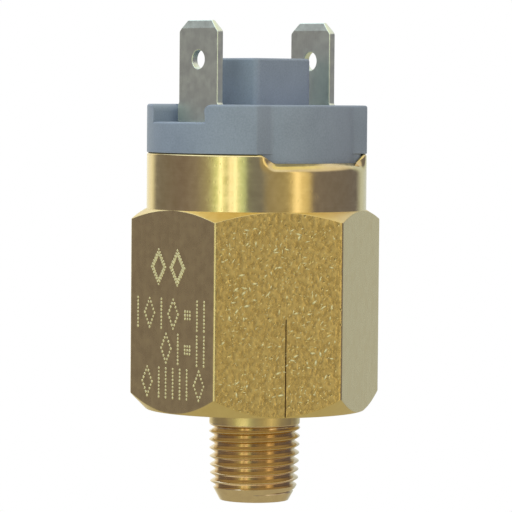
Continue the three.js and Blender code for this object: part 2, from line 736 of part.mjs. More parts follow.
addPiece("brass_body", brassBody(), "brass");
addPiece("diaphragm", diaphragm(), "rubber");
addPiece("clamp_ring", ring(CHAMBER_RADIUS, STACK_RADIUS, RIM_TOP, CLAMP_TOP), "brass");
addPiece("guide_plate", ring(STEM_RADIUS + SLIDE_FIT, STACK_RADIUS, CLAMP_TOP, GUIDE_TOP), "brass");
addPiece("spacer_sleeve", ring(SLEEVE_BORE, STACK_RADIUS, GUIDE_TOP, SLEEVE_TOP), "darkPlastic");
addPiece("piston", piston(), "brass");
addPiece("contact_carrier", contactCarrier(), "darkPlastic");
addPiece("contact_bridge", contactBridge(), "brass");
addPiece(
  "lower_spring_seat",
  ring(HUB_RADIUS + SLIDE_FIT, CARRIER_RADIUS, BRIDGE_TOP, SPRING_BOTTOM),
  "steel",
);
addPiece("range_spring", rangeSpring(), "steel");
addPiece("upper_spring_plate", upperSpringPlate(), "steel");
addPiece("adjusting_screw", adjustingScrew(), "steel");
addPiece(
  "threaded_insert",
  ring(SCREW_RADIUS + SLIDE_FIT, INSERT_RADIUS, INSERT_BOTTOM, INSERT_TOP),
  "brass",
);
addPiece("insulator_head", insulatorHead(), "plastic");
addPiece("head_seal", headSeal(), "rubber");
for (const [place, side] of [["front", -1], ["rear", 1]]) {
  addPiece("terminal_" + place, terminal(side), "platedSteel");
  addPiece("fixed_contact_" + place, fixedContact(side), "silver");
  addPiece("bridge_contact_" + place, bridgeContact(side), "silver");
}

export default group;
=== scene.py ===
# %% [markdown]
# # An adjustable pressure switch
#
# A hexagonal brass body screws into a pipe by its tapered thread. A grey plastic head with
# two blade terminals is held in the body's collar, whose rim is bent over it on two sides.
# Inside, pressure lifts a rubber disc, a piston and a contact bridge against a spring.
#
# The CAD frame fixes every size and joint. This lesson gives each piece the surface that
# the real one has. It works in metres, so lengths are written in millimetres times MM.

# %% Load the frame
import json
import math

import bmesh
import bpy
import numpy as np
from mathutils import Matrix, Vector

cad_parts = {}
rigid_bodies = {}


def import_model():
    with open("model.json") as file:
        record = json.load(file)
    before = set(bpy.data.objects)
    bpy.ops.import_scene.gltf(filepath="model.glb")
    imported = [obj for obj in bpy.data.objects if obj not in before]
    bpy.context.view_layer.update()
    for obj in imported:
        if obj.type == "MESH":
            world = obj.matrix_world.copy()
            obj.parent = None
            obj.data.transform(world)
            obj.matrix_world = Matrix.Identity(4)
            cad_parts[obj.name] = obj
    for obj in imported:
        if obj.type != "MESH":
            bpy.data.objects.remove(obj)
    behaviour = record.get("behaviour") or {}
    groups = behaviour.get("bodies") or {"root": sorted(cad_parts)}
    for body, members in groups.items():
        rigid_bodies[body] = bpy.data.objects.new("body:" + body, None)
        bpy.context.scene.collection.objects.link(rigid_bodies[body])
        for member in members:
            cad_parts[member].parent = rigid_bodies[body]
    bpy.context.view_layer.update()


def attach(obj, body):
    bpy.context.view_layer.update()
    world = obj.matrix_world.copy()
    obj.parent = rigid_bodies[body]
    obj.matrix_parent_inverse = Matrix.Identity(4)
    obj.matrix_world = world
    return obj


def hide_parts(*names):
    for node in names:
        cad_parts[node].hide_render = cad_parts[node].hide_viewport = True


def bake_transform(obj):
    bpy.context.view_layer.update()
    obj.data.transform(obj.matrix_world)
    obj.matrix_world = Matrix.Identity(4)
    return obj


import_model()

MM = 0.001

# %% [markdown]
# ## The camera
#
# A long lens from some way off keeps the body's edges nearly parallel. The camera stands at
# the height of the head, looks slightly down, and is turned by a hair about its own axis,
# as a hand-held one is.

# %% Camera
CAMERA_AZIMUTH = math.radians(48.4)
CAMERA_DISTANCE = 368.8 * MM
CAMERA_HEIGHT = 44.16 * MM
CAMERA_PITCH = math.radians(2.735)
CAMERA_ROLL = math.radians(0.494)
LENS_MM = 238.6

to_camera = Vector((math.sin(CAMERA_AZIMUTH), -math.cos(CAMERA_AZIMUTH), 0))
level_right = Vector((math.cos(CAMERA_AZIMUTH), math.sin(CAMERA_AZIMUTH), 0))


def place_camera():
    forward = -to_camera * math.cos(CAMERA_PITCH) - Vector((0, 0, math.sin(CAMERA_PITCH)))
    level_up = level_right.cross(forward)
    right = level_right * math.cos(CAMERA_ROLL) + level_up * math.sin(CAMERA_ROLL)
    up = right.cross(forward)
    camera = bpy.data.objects.new("camera", bpy.data.cameras.new("camera"))
    bpy.context.scene.collection.objects.link(camera)
    camera.data.lens = LENS_MM
    camera.data.clip_start = 0.01
    camera.matrix_world = Matrix((right, up, -forward)).transposed().to_4x4()
    camera.location = to_camera * CAMERA_DISTANCE + Vector((0, 0, CAMERA_HEIGHT))
    bpy.context.scene.camera = camera
    return camera


camera = place_camera()
print("camera at", [round(c / MM, 1) for c in camera.location], "mm")

# %% [markdown]
# ## Small tools for node trees
#
# Every material and every Geometry Nodes tree is a set of nodes with values and links.
# Three short helpers keep them readable: one adds a node and fills its inputs, one does
# sums, and one opens a node group with named inputs and outputs.

# %% Node helpers


def put(tree, kind, inputs=None, **settings):
    """Adds a node, sets its properties, and fills its inputs with values or with links."""
    node = tree.nodes.new(kind)
    for name, value in settings.items():
        setattr(node, name, value)
    for socket, value in (inputs or {}).items():
        if isinstance(value, bpy.types.NodeSocket):
            tree.links.new(value, node.inputs[socket])
        else:
            node.inputs[socket].default_value = value
    return node


def calc(tree, operation, *values, clamp=False):
    """A Math node on numbers or sockets; gives its output socket."""
    kind = "ShaderNodeMath"
    return put(tree, kind, dict(enumerate(values)), operation=operation, use_clamp=clamp).outputs[0]


def between(tree, value, low, high):
    """A Map Range node: 0 at low, 1 at high, eased at both ends."""
    ends = {"Value": value, "From Min": low, "From Max": high}
    node = put(tree, "ShaderNodeMapRange", ends, interpolation_type="SMOOTHSTEP")
    return node.outputs["Result"]


def blend_colours(tree, share, first, second):
    """A Mix node on colours: first where share is 0, second where it is 1."""
    return put(tree, "ShaderNodeMix", {0: share, 6: first, 7: second}, data_type="RGBA").outputs[2]


def open_group(name, kind, inputs, label, socket_type):
    """A new node group with named inputs and one output; gives its tree and both end nodes."""
    tree = bpy.data.node_groups.new(name, kind)
    for input_label, input_type, value in inputs:
        socket = tree.interface.new_socket(input_label, in_out="INPUT", socket_type=input_type)
        if value is not None:
            socket.default_value = value
    tree.interface.new_socket(label, in_out="OUTPUT", socket_type=socket_type)
    return tree, tree.nodes.new("NodeGroupInput"), tree.nodes.new("NodeGroupOutput")


# %% [markdown]
# ## Effects that several materials share
#
# Machined and moulded surfaces differ in a few marks, which are made once as node groups:
#
# - tool lines: fine parallel lines, round a turned piece or along a drawn bar;
# - clouds: soft patches where handling and cleaning left the surface duller;
# - nicks: short bright dents from pieces knocking together in a tub.
#
# All three read Object coordinates, turned into millimetres, so they stay on the piece.

# %% Shared shader groups


def stretched(tree, factors):
    """Object coordinates in millimetres, multiplied by a factor along each axis."""
    place = put(tree, "ShaderNodeTexCoord").outputs["Object"]
    scaled = put(tree, "ShaderNodeVectorMath", {0: place, "Scale": 1 / MM}, operation="SCALE")
    vectors = {0: scaled.outputs[0], 1: factors}
    return put(tree, "ShaderNodeVectorMath", vectors, operation="MULTIPLY").outputs[0]


def shader_group(name, inputs, label):
    return open_group(name, "ShaderNodeTree", inputs, label, "NodeSocketFloat")


def tool_lines_group():
    tree, given, result = shader_group(
        "Tool lines", [("Lines per mm", "NodeSocketVector", (1, 1, 1))], "Lines"
    )
    settings = {
        "Vector": stretched(tree, given.outputs[0]), "Scale": 1.0, "Detail": 3.0, "Roughness": 0.65,
    }
    noise = put(tree, "ShaderNodeTexNoise", settings).outputs[0]
    tree.links.new(noise, result.inputs[0])
    return tree


def clouds_group():
    inputs = [("Patch mm", "NodeSocketFloat", 1.0), ("Contrast", "NodeSocketFloat", 1.0)]
    tree, given, result = shader_group("Clouds", inputs, "Patches")
    scale = calc(tree, "DIVIDE", 1.0, given.outputs[0])
    settings = {"Vector": stretched(tree, (1, 1, 1)), "Scale": scale, "Detail": 4.0}
    centred = calc(tree, "SUBTRACT", put(tree, "ShaderNodeTexNoise", settings).outputs[0], 0.5)
    spread = calc(tree, "MULTIPLY", centred, given.outputs[1])
    tree.links.new(calc(tree, "ADD", spread, 0.5, clamp=True), result.inputs[0])
    return tree


NICK_SHARE = 0.45
NICK_LAYERS = [
    # turn in radians, and the stretch of the cells along each axis
    (0.5, (1, 1, 0.3)), (-0.7, (1.2, 1.2, 0.4)), (1.3, (0.9, 0.9, 0.5)),
]


def nicks_group():
    inputs = [("Nicks per mm", "NodeSocketFloat", 1.0), ("Size", "NodeSocketFloat", 0.2)]
    tree, given, result = shader_group("Nicks", inputs, "Mask")
    marks = 0.0
    for turn, stretch in NICK_LAYERS:
        pose = {"Vector": stretched(tree, (1, 1, 1)), "Axis": (0.87, 0.5, 0.0), "Angle": turn}
        vectors = {0: put(tree, "ShaderNodeVectorRotate", pose).outputs[0], 1: stretch}
        place = put(tree, "ShaderNodeVectorMath", vectors, operation="MULTIPLY").outputs[0]
        cells = put(tree, "ShaderNodeTexVoronoi", {"Vector": place, "Scale": given.outputs[0]})
        luck = put(tree, "ShaderNodeSeparateColor", {0: cells.outputs["Color"]}).outputs[0]
        rare = calc(tree, "GREATER_THAN", luck, 1 - NICK_SHARE)
        mark = between(tree, cells.outputs["Distance"], given.outputs[1], 0.0)
        marks = calc(tree, "MAXIMUM", marks, calc(tree, "MULTIPLY", mark, rare), clamp=True)
    tree.links.new(marks, result.inputs[0])
    return tree


TOOL_LINES, CLOUDS, NICKS = tool_lines_group(), clouds_group(), nicks_group()


def use(tree, group, **values):
    """Places a shared group in a material; underscores in the names stand for spaces."""
    node = put(tree, "ShaderNodeGroup", node_tree=group)
    for name, value in values.items():
        node.inputs[name.replace("_", " ")].default_value = value
    return node.outputs[0]


print("shared groups:", [g.name for g in (TOOL_LINES, CLOUDS, NICKS)])

# %% [markdown]
# ## The brass finishes
#
# One bar of brass carries three finishes. The hexagon is the bar as drawn and tumbled, the
# collar, neck and chamfers are turned, and the thread is rolled and a little redder. Brass
# is a metal, so its base colour is what it mirrors: the studio's panels do the rest. The
# relief is real microns of height in a Bump node.

# %% Brass materials


def new_material(name, metallic=0.0):
    material = bpy.data.materials.new(name)
    material.use_nodes = True
    shader = material.node_tree.nodes["Principled BSDF"]
    shader.inputs["Metallic"].default_value = metallic
    return material, material.node_tree, shader


def mixed(tree, first, second, first_share):
    """Two values added, the first with its share and the second with what is left of one."""
    rest = calc(tree, "MULTIPLY", second, 1 - first_share)
    return calc(tree, "ADD", calc(tree, "MULTIPLY", first, first_share), rest)


def relief(tree, shader, height, micrometres=1.0):
    """Links a height to the shader's normal, as that many micrometres for each unit."""
    bump = put(tree, "ShaderNodeBump", {"Height": height, "Distance": micrometres * 1e-6})
    tree.links.new(bump.outputs[0], shader.inputs["Normal"])


def brass(
    name, light, dark, roughness, lines_per_mm, lines_um, clouds_um, patch, nicks_um, metallic=1.0
):
    """Lines, clouds and nicks shade the metal, dull it and give it relief in micrometres."""
    material, tree, shader = new_material(name, metallic)
    lines = use(tree, TOOL_LINES, Lines_per_mm=lines_per_mm)
    patches = use(tree, CLOUDS, Patch_mm=patch, Contrast=2.2)
    tarnish = use(tree, CLOUDS, Patch_mm=patch, Contrast=2.0)
    nicks = use(tree, NICKS, Nicks_per_mm=1.6, Size=0.2)
    shade = mixed(tree, lines, tarnish, 0.35)
    tree.links.new(blend_colours(tree, shade, dark, light), shader.inputs["Base Color"])
    dull = calc(tree, "MULTIPLY_ADD", patches, 0.10, roughness)
    tree.links.new(calc(tree, "MULTIPLY_ADD", lines, 0.06, dull), shader.inputs["Roughness"])
    height = calc(tree, "MULTIPLY", lines, lines_um)
    height = calc(tree, "MULTIPLY_ADD", patches, clouds_um, height)
    relief(tree, shader, calc(tree, "MULTIPLY_ADD", nicks, -nicks_um, height))
    return material


BAR_BRASS = brass(
    "drawn bar brass", (0.80, 0.63, 0.32, 1), (0.64, 0.49, 0.24, 1), 0.20,
    lines_per_mm=(3.5, 3.5, 0.05), lines_um=8.0, clouds_um=2.0, patch=1.2, nicks_um=2.0,
)
WORN_BRASS = brass(
    "peppered bar brass", (0.97, 0.74, 0.30, 1), (0.55, 0.38, 0.13, 1), 0.20,
    lines_per_mm=(2.0, 2.0, 1.0), lines_um=10.0, clouds_um=34.0, patch=0.50, nicks_um=130.0,
)
TURNED_BRASS = brass(
    "turned brass", (0.82, 0.64, 0.29, 1), (0.72, 0.54, 0.23, 1), 0.26,
    lines_per_mm=(0.15, 0.15, 9), lines_um=3.0, clouds_um=3.0, patch=0.8, nicks_um=4.0,
)
COLLAR_BRASS = brass(
    "polished collar brass", (0.87, 0.69, 0.35, 1), (0.69, 0.52, 0.23, 1), 0.07,
    lines_per_mm=(0.10, 0.10, 5), lines_um=3.5, clouds_um=2.0, patch=1.0, nicks_um=4.0,
)
THREAD_BRASS = brass(
    "rolled thread brass", (0.80, 0.62, 0.37, 1), (0.64, 0.48, 0.30, 1), 0.06,
    lines_per_mm=(0.3, 0.3, 14), lines_um=1.0, clouds_um=3.0, patch=0.8, nicks_um=4.0,
)
# Painted shadow: the drawing seam's groove is too shallow to darken by itself, so this dark brass
# paints the shade that falls in it.
SEAM_SHADOW_BRASS = brass(
    "seam brass with painted shadow", (0.20, 0.12, 0.05, 1), (0.12, 0.07, 0.03, 1), 0.60,
    lines_per_mm=(6, 6, 0.5), lines_um=3.0, clouds_um=4.0, patch=0.4, nicks_um=2.0,
)
INNER_BRASS = brass(
    "clean inner brass", (0.84, 0.66, 0.34, 1), (0.74, 0.57, 0.28, 1), 0.22,
    lines_per_mm=(0.2, 0.2, 8), lines_um=2.0, clouds_um=2.0, patch=2.0, nicks_um=2.0,
)
print("brass finishes made")

# %% [markdown]
# ## Shapes from a profile
#
# Nearly every piece here came off a lathe, so a profile of radius and height, turned about
# the port's axis, makes it. Real edges are never sharp: each corner of the profile is
# replaced by a small arc. Every corner gives the same number of points, even where it is
# too short for its full radius, so profiles with different corners can be joined by faces.

# %% Profile helpers
ARC_STEPS = 4


def rounded(points, radius, closed=True):
    """The profile with each corner replaced by an arc of ARC_STEPS + 1 points.

    radius is one number, or one for each corner, in the profile's own units.
    """
    points = [np.array(p, float) for p in points]
    count = len(points)
    radii = [radius] * count if np.isscalar(radius) else radius
    out = []
    for k, corner in enumerate(points):
        if not closed and k in (0, count - 1):
            out.append(corner)
            continue
        before, after = points[k - 1] - corner, points[(k + 1) % count] - corner
        length_a, length_b = np.linalg.norm(before), np.linalg.norm(after)
        if min(length_a, length_b) < 1e-9:
            out.extend([corner] * (ARC_STEPS + 1))
            continue
        u, v = before / length_a, after / length_b
        half = math.acos(np.clip(np.dot(u, v), -1, 1)) / 2
        reach = min(radii[k] / max(math.tan(half), 1e-6), 0.48 * length_a, 0.48 * length_b)
        start, end = corner + u * reach, corner + v * reach
        for step in range(ARC_STEPS + 1):
            t = step / ARC_STEPS
            out.append((1 - t) ** 2 * start + 2 * t * (1 - t) * corner + t**2 * end)
    return np.array(out)


def finish_mesh(mesh, sharp=35):
    """Welds what meets, turns the faces outwards and smooths all but the sharp edges."""
    work = bmesh.new()
    work.from_mesh(mesh)
    bmesh.ops.remove_doubles(work, verts=work.verts, dist=1e-6)
    bmesh.ops.dissolve_degenerate(work, edges=work.edges, dist=1e-7)
    bmesh.ops.recalc_face_normals(work, faces=work.faces)
    work.to_mesh(mesh)
    work.free()
    mesh.shade_smooth()
    mesh.set_sharp_from_angle(angle=math.radians(sharp))


def piece_from(name, vertices, faces, materials, face_materials=None, sharp=35):
    """An object at the origin from vertices in millimetres."""
    mesh = bpy.data.meshes.new(name)
    mesh.from_pydata([tuple(c * MM for c in v) for v in vertices], [], faces)
    for material in materials:
        mesh.materials.append(material)
    if face_materials is not None:
        mesh.polygons.foreach_set("material_index", face_materials)
    finish_mesh(mesh, sharp)
    piece = bpy.data.objects.new(name, mesh)
    bpy.context.scene.collection.objects.link(piece)
    return piece


def placed_round(columns, angles):
    """Columns of (radius, height), each placed at its own angle about Z."""
    return np.array([
        [(r * math.cos(a), r * math.sin(a), z) for r, z in column]
        for a, column in zip(angles, columns)
    ])


def grid_faces(columns, rows, ring=False, closed=True):
    """Faces between neighbouring columns of vertices.

    ring joins the last column to the first one, closed joins each last row to the first.
    """
    faces = []
    for k in range(columns if ring else columns - 1):
        here, there = k * rows, (k + 1) % columns * rows
        for row in range(rows if closed else rows - 1):
            after = (row + 1) % rows
            faces.append((here + row, there + row, there + after, here + after))
    return faces


def loft(sections):
    """Vertices and faces of closed sections, joined in a ring from the first to the last."""
    count, rows = sections.shape[:2]
    return sections.reshape(-1, 3), grid_faces(count, rows, ring=True)


def turned(name, profile, materials, edge=0.06, segments=96):
    """A piece turned about Z from a closed profile of (radius, height), in millimetres."""
    radii = [0 if r < 1e-6 else edge for r, z in profile]
    section = rounded(profile, radii)
    angles = np.linspace(0, 2 * math.pi, segments, endpoint=False)
    vertices, faces = loft(placed_round([section] * segments, angles))
    on_axis = np.abs(section[:, 0]) < 1e-6
    last = len(section) - 1
    if on_axis[0] and on_axis[last]:
        faces = [f for k, f in enumerate(faces) if k % len(section) != last]
    return piece_from(name, vertices, faces, materials)


def settle(piece, body, node):
    """The piece rides on its body and stands for its CAD node."""
    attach(piece, body)
    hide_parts(node)
    return piece


# %% [markdown]
# ## The brass body
#
# The body is one bar, machined all over, so it is one mesh. A hexagon isn't round, but it
# can still be described as a turned profile whose radius depends on the angle: the flats
# are 12 / cos(angle), the corners are small arcs, and each chamfer is where a cone meets
# that radius. So one loop of profiles, one for each angle, gives the thread, neck, hexagon,
# collar and the bores inside, with every crease lying exactly on an edge of the mesh.
#
# The thread uses the same columns, but its rows climb by one pitch in each turn. The
# collar's lip is a second profile, bent over, mixed in around +X and -X.

# %% Body sizes, in millimetres
PITCH = 25.4 / 28
THREAD_DEPTH = 0.6403 * PITCH
GAUGE_RADIUS, GAUGE_HEIGHT, TAPER = 4.864, 4.0, 1 / 32
THREAD_TOP = 8.4
THREAD_FADE = 0.5
THREAD_START = 1.94
TIP_RADIUS, TIP_SLOPE = 3.76, 0.545
NECK_RADIUS = 4.93
ROWS_PER_PITCH = 12
CREST_FLAT, FLANK = 0.10, 0.80

APOTHEM = 11.96
HEX_BOTTOM, HEX_TOP = 9.94, 31.68
HEX_EDGE_ARC = 0.4
HEX_FOOT_RADIUS, HEX_SHOULDER_RADIUS = 11.9, 11.955
TOP_CHAMFER_SLOPE = 0.6

COLLAR_RADIUS, COLLAR_WALL, COLLAR_TOP = 11.94, 0.55, 37.75
CRIMP_FULL, CRIMP_END = 31.0, 40.0
BEND_START, BEND_RADIUS, BEND_ANGLE, BENT_LENGTH = 35.7, 0.75, math.radians(53), 1.34
LIP_ROWS = 9
RIM_ROUND = 0.12

PORT_RADIUS, CHAMBER_RADIUS, BORE_RADIUS = 1.75, 7.2, 10.0
CHAMBER_FLOOR, DIAPHRAGM_SEAT, HEAD_SEAT = 13.0, 14.0, 31.2

SEAM_ANGLE = -25.95
SEAM_HALF_WIDTH = 0.35
SEAM_DEPTH = 0.07
SEAM_TOP, SEAM_FADE = 20.4, 0.6
HOLD = 0.3


# %% The hexagon's radius at any angle
def smooth_share(value, low, high):
    t = min(max((value - low) / (high - low), 0.0), 1.0)
    return t * t * (3 - 2 * t)


def hexagon_radius(degrees):
    """Distance from the axis to the hexagon's side, with its corners rounded."""
    from_corner = math.radians((degrees + 30) % 60 - 30)
    centre = (APOTHEM - HEX_EDGE_ARC) / math.cos(math.radians(30))
    tangent = math.atan2(HEX_EDGE_ARC * 0.5, centre + HEX_EDGE_ARC * math.cos(math.radians(30)))
    if abs(from_corner) < tangent:
        inside = HEX_EDGE_ARC**2 - (centre * math.sin(from_corner)) ** 2
        return centre * math.cos(from_corner) + math.sqrt(inside)
    from_flat = math.radians(degrees % 60 - 30)
    return APOTHEM / math.cos(from_flat)


def body_angles():
    """Even steps, with more of them at the rounded corners and at the drawing seam."""
    angles = set(np.arange(0, 360, 1.5))
    for corner in range(0, 360, 60):
        angles.update((corner + d) % 360 for d in (-0.8, -0.64, -0.4, 0, 0.4, 0.64, 0.8))
    seam = SEAM_ANGLE % 360
    angles.update(seam + d * SEAM_HALF_WIDTH for d in (-2, -1, -0.5, 0, 0.5, 1, 2))
    return sorted(round(float(a), 4) for a in angles)


print("hexagon across corners:", round(2 * hexagon_radius(0), 2), "mm")


# %% The thread's rows, the collar's lip, and one column of the body
def crest_radius(z):
    return GAUGE_RADIUS + (z - GAUGE_HEIGHT) * TAPER


def thread_wave(phase, crest, flank):
    """0 on a thread's crest and 1 in its root, for a phase counted in turns."""
    return min(max((abs((phase % 1.0) * 2 - 1) - crest) / flank, 0.0), 1.0)


def thread_point(row, degrees):
    """A point of the thread: rows climb with the angle, and both ends are trimmed flat."""
    phase = row / ROWS_PER_PITCH
    z = min(max((phase - THREAD_START + degrees / 360) * PITCH, 0.0), THREAD_TOP)
    depth = THREAD_DEPTH * thread_wave(phase, CREST_FLAT, FLANK)
    fade = smooth_share(z, THREAD_TOP - THREAD_FADE, THREAD_TOP)
    cut = (1 - fade) * (crest_radius(z) - depth) + fade * NECK_RADIUS
    return min(cut, TIP_RADIUS + TIP_SLOPE * z), z


def bent_point(along, offset):
    """A point of the bent lip, so far along its middle line and so far out from it."""
    turn = min(along / BEND_RADIUS, BEND_ANGLE)
    straight = max(along - BEND_RADIUS * BEND_ANGLE, 0.0)
    middle = COLLAR_RADIUS - COLLAR_WALL / 2
    return (
        middle - BEND_RADIUS + (BEND_RADIUS + offset) * math.cos(turn) - straight * math.sin(turn),
        BEND_START + (BEND_RADIUS + offset) * math.sin(turn) + straight * math.cos(turn),
    )


def lip_rows(crimp):
    """The collar's lip from its outer foot over the rim to its inner foot."""
    half, height = COLLAR_WALL / 2, COLLAR_TOP - BEND_START
    middle = COLLAR_RADIUS - half
    path = [(half, s / LIP_ROWS) for s in range(LIP_ROWS)]
    path += [
        (half * math.cos(a), 1 - RIM_ROUND * (1 - math.sin(a))) for a in np.linspace(0, math.pi, 9)
    ]
    path += [(-half, 1 - s / LIP_ROWS) for s in range(1, LIP_ROWS + 1)]
    rows = []
    for offset, share in path:
        straight = np.array((middle + offset, BEND_START + share * height))
        bent = np.array(bent_point(share * BENT_LENGTH, offset))
        rows.append((1 - crimp) * straight + crimp * bent)
    return rows


def body_column(degrees):
    """The body's closed profile at one angle, and how many rows each finish has."""
    side = hexagon_radius(degrees)
    from_x = min(degrees % 180, 180 - degrees % 180)
    crimp = 1 - smooth_share(from_x, CRIMP_FULL, CRIMP_END)
    foot_z = HEX_BOTTOM + side - HEX_FOOT_RADIUS
    top_z = HEX_TOP - max(side - HEX_SHOULDER_RADIUS, 0) * TOP_CHAMFER_SLOPE
    thread_rows = int(THREAD_TOP / PITCH + 4) * ROWS_PER_PITCH
    thread = [thread_point(row, degrees) for row in range(thread_rows)]
    from_seam = abs((degrees - SEAM_ANGLE + 180) % 360 - 180)
    groove = SEAM_DEPTH * (1 - smooth_share(from_seam, 0.2 * SEAM_HALF_WIDTH, SEAM_HALF_WIDTH))
    neck = rounded(
        [(NECK_RADIUS, THREAD_TOP), (NECK_RADIUS, HEX_BOTTOM), (HEX_FOOT_RADIUS, HEX_BOTTOM),
         (side - groove, foot_z)],
        [0, 0.15, 0.12, 0],
        closed=False,
    )[:-1]
    flats = rounded(
        [(HEX_FOOT_RADIUS, HEX_BOTTOM), (side - groove, foot_z), (side - groove, foot_z + HOLD),
         (side - groove, SEAM_TOP - SEAM_FADE), (side, SEAM_TOP), (side, top_z - HOLD),
         (side, top_z), (min(side, HEX_SHOULDER_RADIUS), HEX_TOP)],
        [0, 0.12, 0, 0, 0, 0, 0.10, 0],
        closed=False,
    )[1:-1]
    shoulder = rounded(
        [(side, top_z), (min(side, HEX_SHOULDER_RADIUS), HEX_TOP), (COLLAR_RADIUS, HEX_TOP),
         (COLLAR_RADIUS, BEND_START)],
        [0, 0.05, 0.02, 0],
        closed=False,
    )[1:-1]
    inner = COLLAR_RADIUS - COLLAR_WALL
    bores = rounded(
        [(inner, BEND_START), (inner, HEAD_SEAT), (BORE_RADIUS, HEAD_SEAT),
         (BORE_RADIUS, DIAPHRAGM_SEAT), (CHAMBER_RADIUS, DIAPHRAGM_SEAT),
         (CHAMBER_RADIUS, CHAMBER_FLOOR), (PORT_RADIUS, CHAMBER_FLOOR), (PORT_RADIUS, 0),
         (TIP_RADIUS, 0)],
        [0, 0.1, 0.1, 0.1, 0.1, 0.1, 0.1, 0.25, 0],
        closed=False,
    )[1:-1]
    parts = [thread, neck, flats, shoulder, lip_rows(crimp), bores]
    return np.concatenate([np.array(p) for p in parts]), [len(p) for p in parts]


# %% Join the columns into the body
DRAWN, TURNED, THREAD, COLLAR, WORN, SEAM = range(6)


def flat_finish(finish, degrees, z):
    """The finish of a face: peppered on two flats, painted shadow in the seam."""
    if finish != DRAWN:
        return finish
    from_seam = (degrees - SEAM_ANGLE + 180) % 360 - 180
    if z < SEAM_TOP and -SEAM_HALF_WIDTH <= from_seam < SEAM_HALF_WIDTH - 0.01:
        return SEAM
    return WORN if 120 < degrees < 180 or 300 < degrees < 360 else DRAWN


def brass_body():
    degrees = body_angles() + [360.0]
    columns = [body_column(d) for d in degrees]
    counts = columns[0][1]
    sections = placed_round([column for column, _ in columns], [math.radians(d) for d in degrees])
    rows = sections.shape[1]
    finish_of_row = np.repeat([THREAD, TURNED, DRAWN, TURNED, COLLAR, TURNED], counts)
    finish_of_row[sum(counts[:3]) - ARC_STEPS : sum(counts[:3])] = TURNED
    finish_of_row[sum(counts[:4]) - 1] = COLLAR
    finishes = [
        flat_finish(int(finish_of_row[row]), degrees[k], sections[k, row, 2])
        for k in range(len(degrees) - 1) for row in range(rows)
    ]
    vertices, faces = sections.reshape(-1, 3), grid_faces(len(degrees), rows)
    materials = [BAR_BRASS, TURNED_BRASS, THREAD_BRASS, COLLAR_BRASS, WORN_BRASS, SEAM_SHADOW_BRASS]
    return piece_from("brass_body_fine", vertices, faces, materials, finishes, sharp=32)


body = settle(brass_body(), "housing", "brass_body")
print("brass body:", len(body.data.polygons), "faces")

# %% [markdown]
# ## Shapes from blocks
#
# The plastic head is moulded and the terminals are stamped, so they have flat walls. They
# start as outlines raised to a height, joined and cut with each other. A mould or a die
# leaves no rim quite sharp, so near its rims a slab's outline is drawn inwards in small
# steps. The cutters are plain prisms, so narrow slots keep parallel walls.

# %% Helpers for outlines and cuts


def at_height(outline, height, axis):
    """An outline's points: in X and Y at a height on Z, or in X and Z at a depth on Y."""
    return [(a, b, height) if axis == "z" else (a, height, b) for a, b in outline]


def raised(outline, bottom, top, axis="z"):
    """A plain prism from an outline."""
    vertices = at_height(outline, bottom, axis) + at_height(outline, top, axis)
    count = len(outline)
    sides = [(k, (k + 1) % count, count + (k + 1) % count, count + k) for k in range(count)]
    ends = [tuple(range(count))[::-1], tuple(range(count, 2 * count))]
    return piece_from("part", vertices, ends + sides, [])


def quarter_round(size, points=5):
    """Pairs (inset, depth) of a rounded edge, from its side up to its top."""
    return [
        (size * (1 - math.cos(a)), size * (1 - math.sin(a)))
        for a in np.linspace(0, math.pi / 2, points)
    ]


def box_outline(x0, x1, y0, y1):
    return [(x0, y0), (x1, y0), (x1, y1), (x0, y1)]


def circle(radius, centre=(0, 0), steps=64):
    angles = np.linspace(0, 2 * math.pi, steps, endpoint=False)
    return [(centre[0] + radius * math.cos(a), centre[1] + radius * math.sin(a)) for a in angles]


def inset_steps(outline):
    """For each corner of an outline, the step that moves both its edges inwards by one."""
    after = np.roll(outline, -1, axis=0) - outline
    before = outline - np.roll(outline, 1, axis=0)
    after, before = (e / np.linalg.norm(e, axis=1)[:, None] for e in (after, before))
    total = sum(np.stack([-e[:, 1], e[:, 0]], axis=1) for e in (after, before))
    return total * 2 / (total**2).sum(axis=1)[:, None]


def slab(outline, bottom, top, edge, both_rims=True, axis="z"):
    """A prism from an outline, with its top rim rounded and perhaps its bottom rim too."""
    outline = np.array([p for k, p in enumerate(outline) if math.dist(p, outline[k - 1]) > 1e-4])
    steps = inset_steps(outline)
    rim = quarter_round(edge)
    below = [(inset, bottom + depth) for inset, depth in rim[::-1]] if both_rims else [(0, bottom)]
    levels = below + [(inset, top - depth) for inset, depth in rim]
    count = len(outline)
    vertices = [
        v for inset, height in levels for v in at_height(outline + steps * inset, height, axis)
    ]
    faces = [
        (level * count + k, level * count + (k + 1) % count,
         (level + 1) * count + (k + 1) % count, (level + 1) * count + k)
        for level in range(len(levels) - 1) for k in range(count)
    ]
    last = (len(levels) - 1) * count
    faces += [tuple(range(count))[::-1], tuple(range(last, last + count))]
    return piece_from("part", vertices, faces, [])


def applied(piece):
    """Turns the piece's modifiers into plain mesh."""
    shown = piece.evaluated_get(bpy.context.evaluated_depsgraph_get())
    mesh = bpy.data.meshes.new_from_object(shown)
    piece.modifiers.clear()
    piece.data = mesh
    return piece


def combine(piece, others, operation):
    """Joins other parts to the piece, or cuts them out of it, and removes them."""
    for other in others:
        modifier = piece.modifiers.new(operation, "BOOLEAN")
        modifier.operation, modifier.solver, modifier.object = operation, "EXACT", other
        applied(piece)
        bpy.data.objects.remove(other)
    return piece


def finished(piece, name, materials, sharp=35):
    piece.name = piece.data.name = name
    for material in materials:
        piece.data.materials.append(material)
    finish_mesh(piece.data, sharp)
    modifier = piece.modifiers.new("flat faces stay flat", "WEIGHTED_NORMAL")
    modifier.keep_sharp = True
    return applied(piece)


# %% [markdown]
# ## The plastic head
#
# The head is glass-filled nylon: a satin blue-grey with a faint speckle, slightly orange-
# peeled by the mould. Its flange has flat shoulders where the crimped lip holds it, a notch
# behind each blade, and a square tower with the adjusting screw down its middle.

# %% Plastic and rubber materials


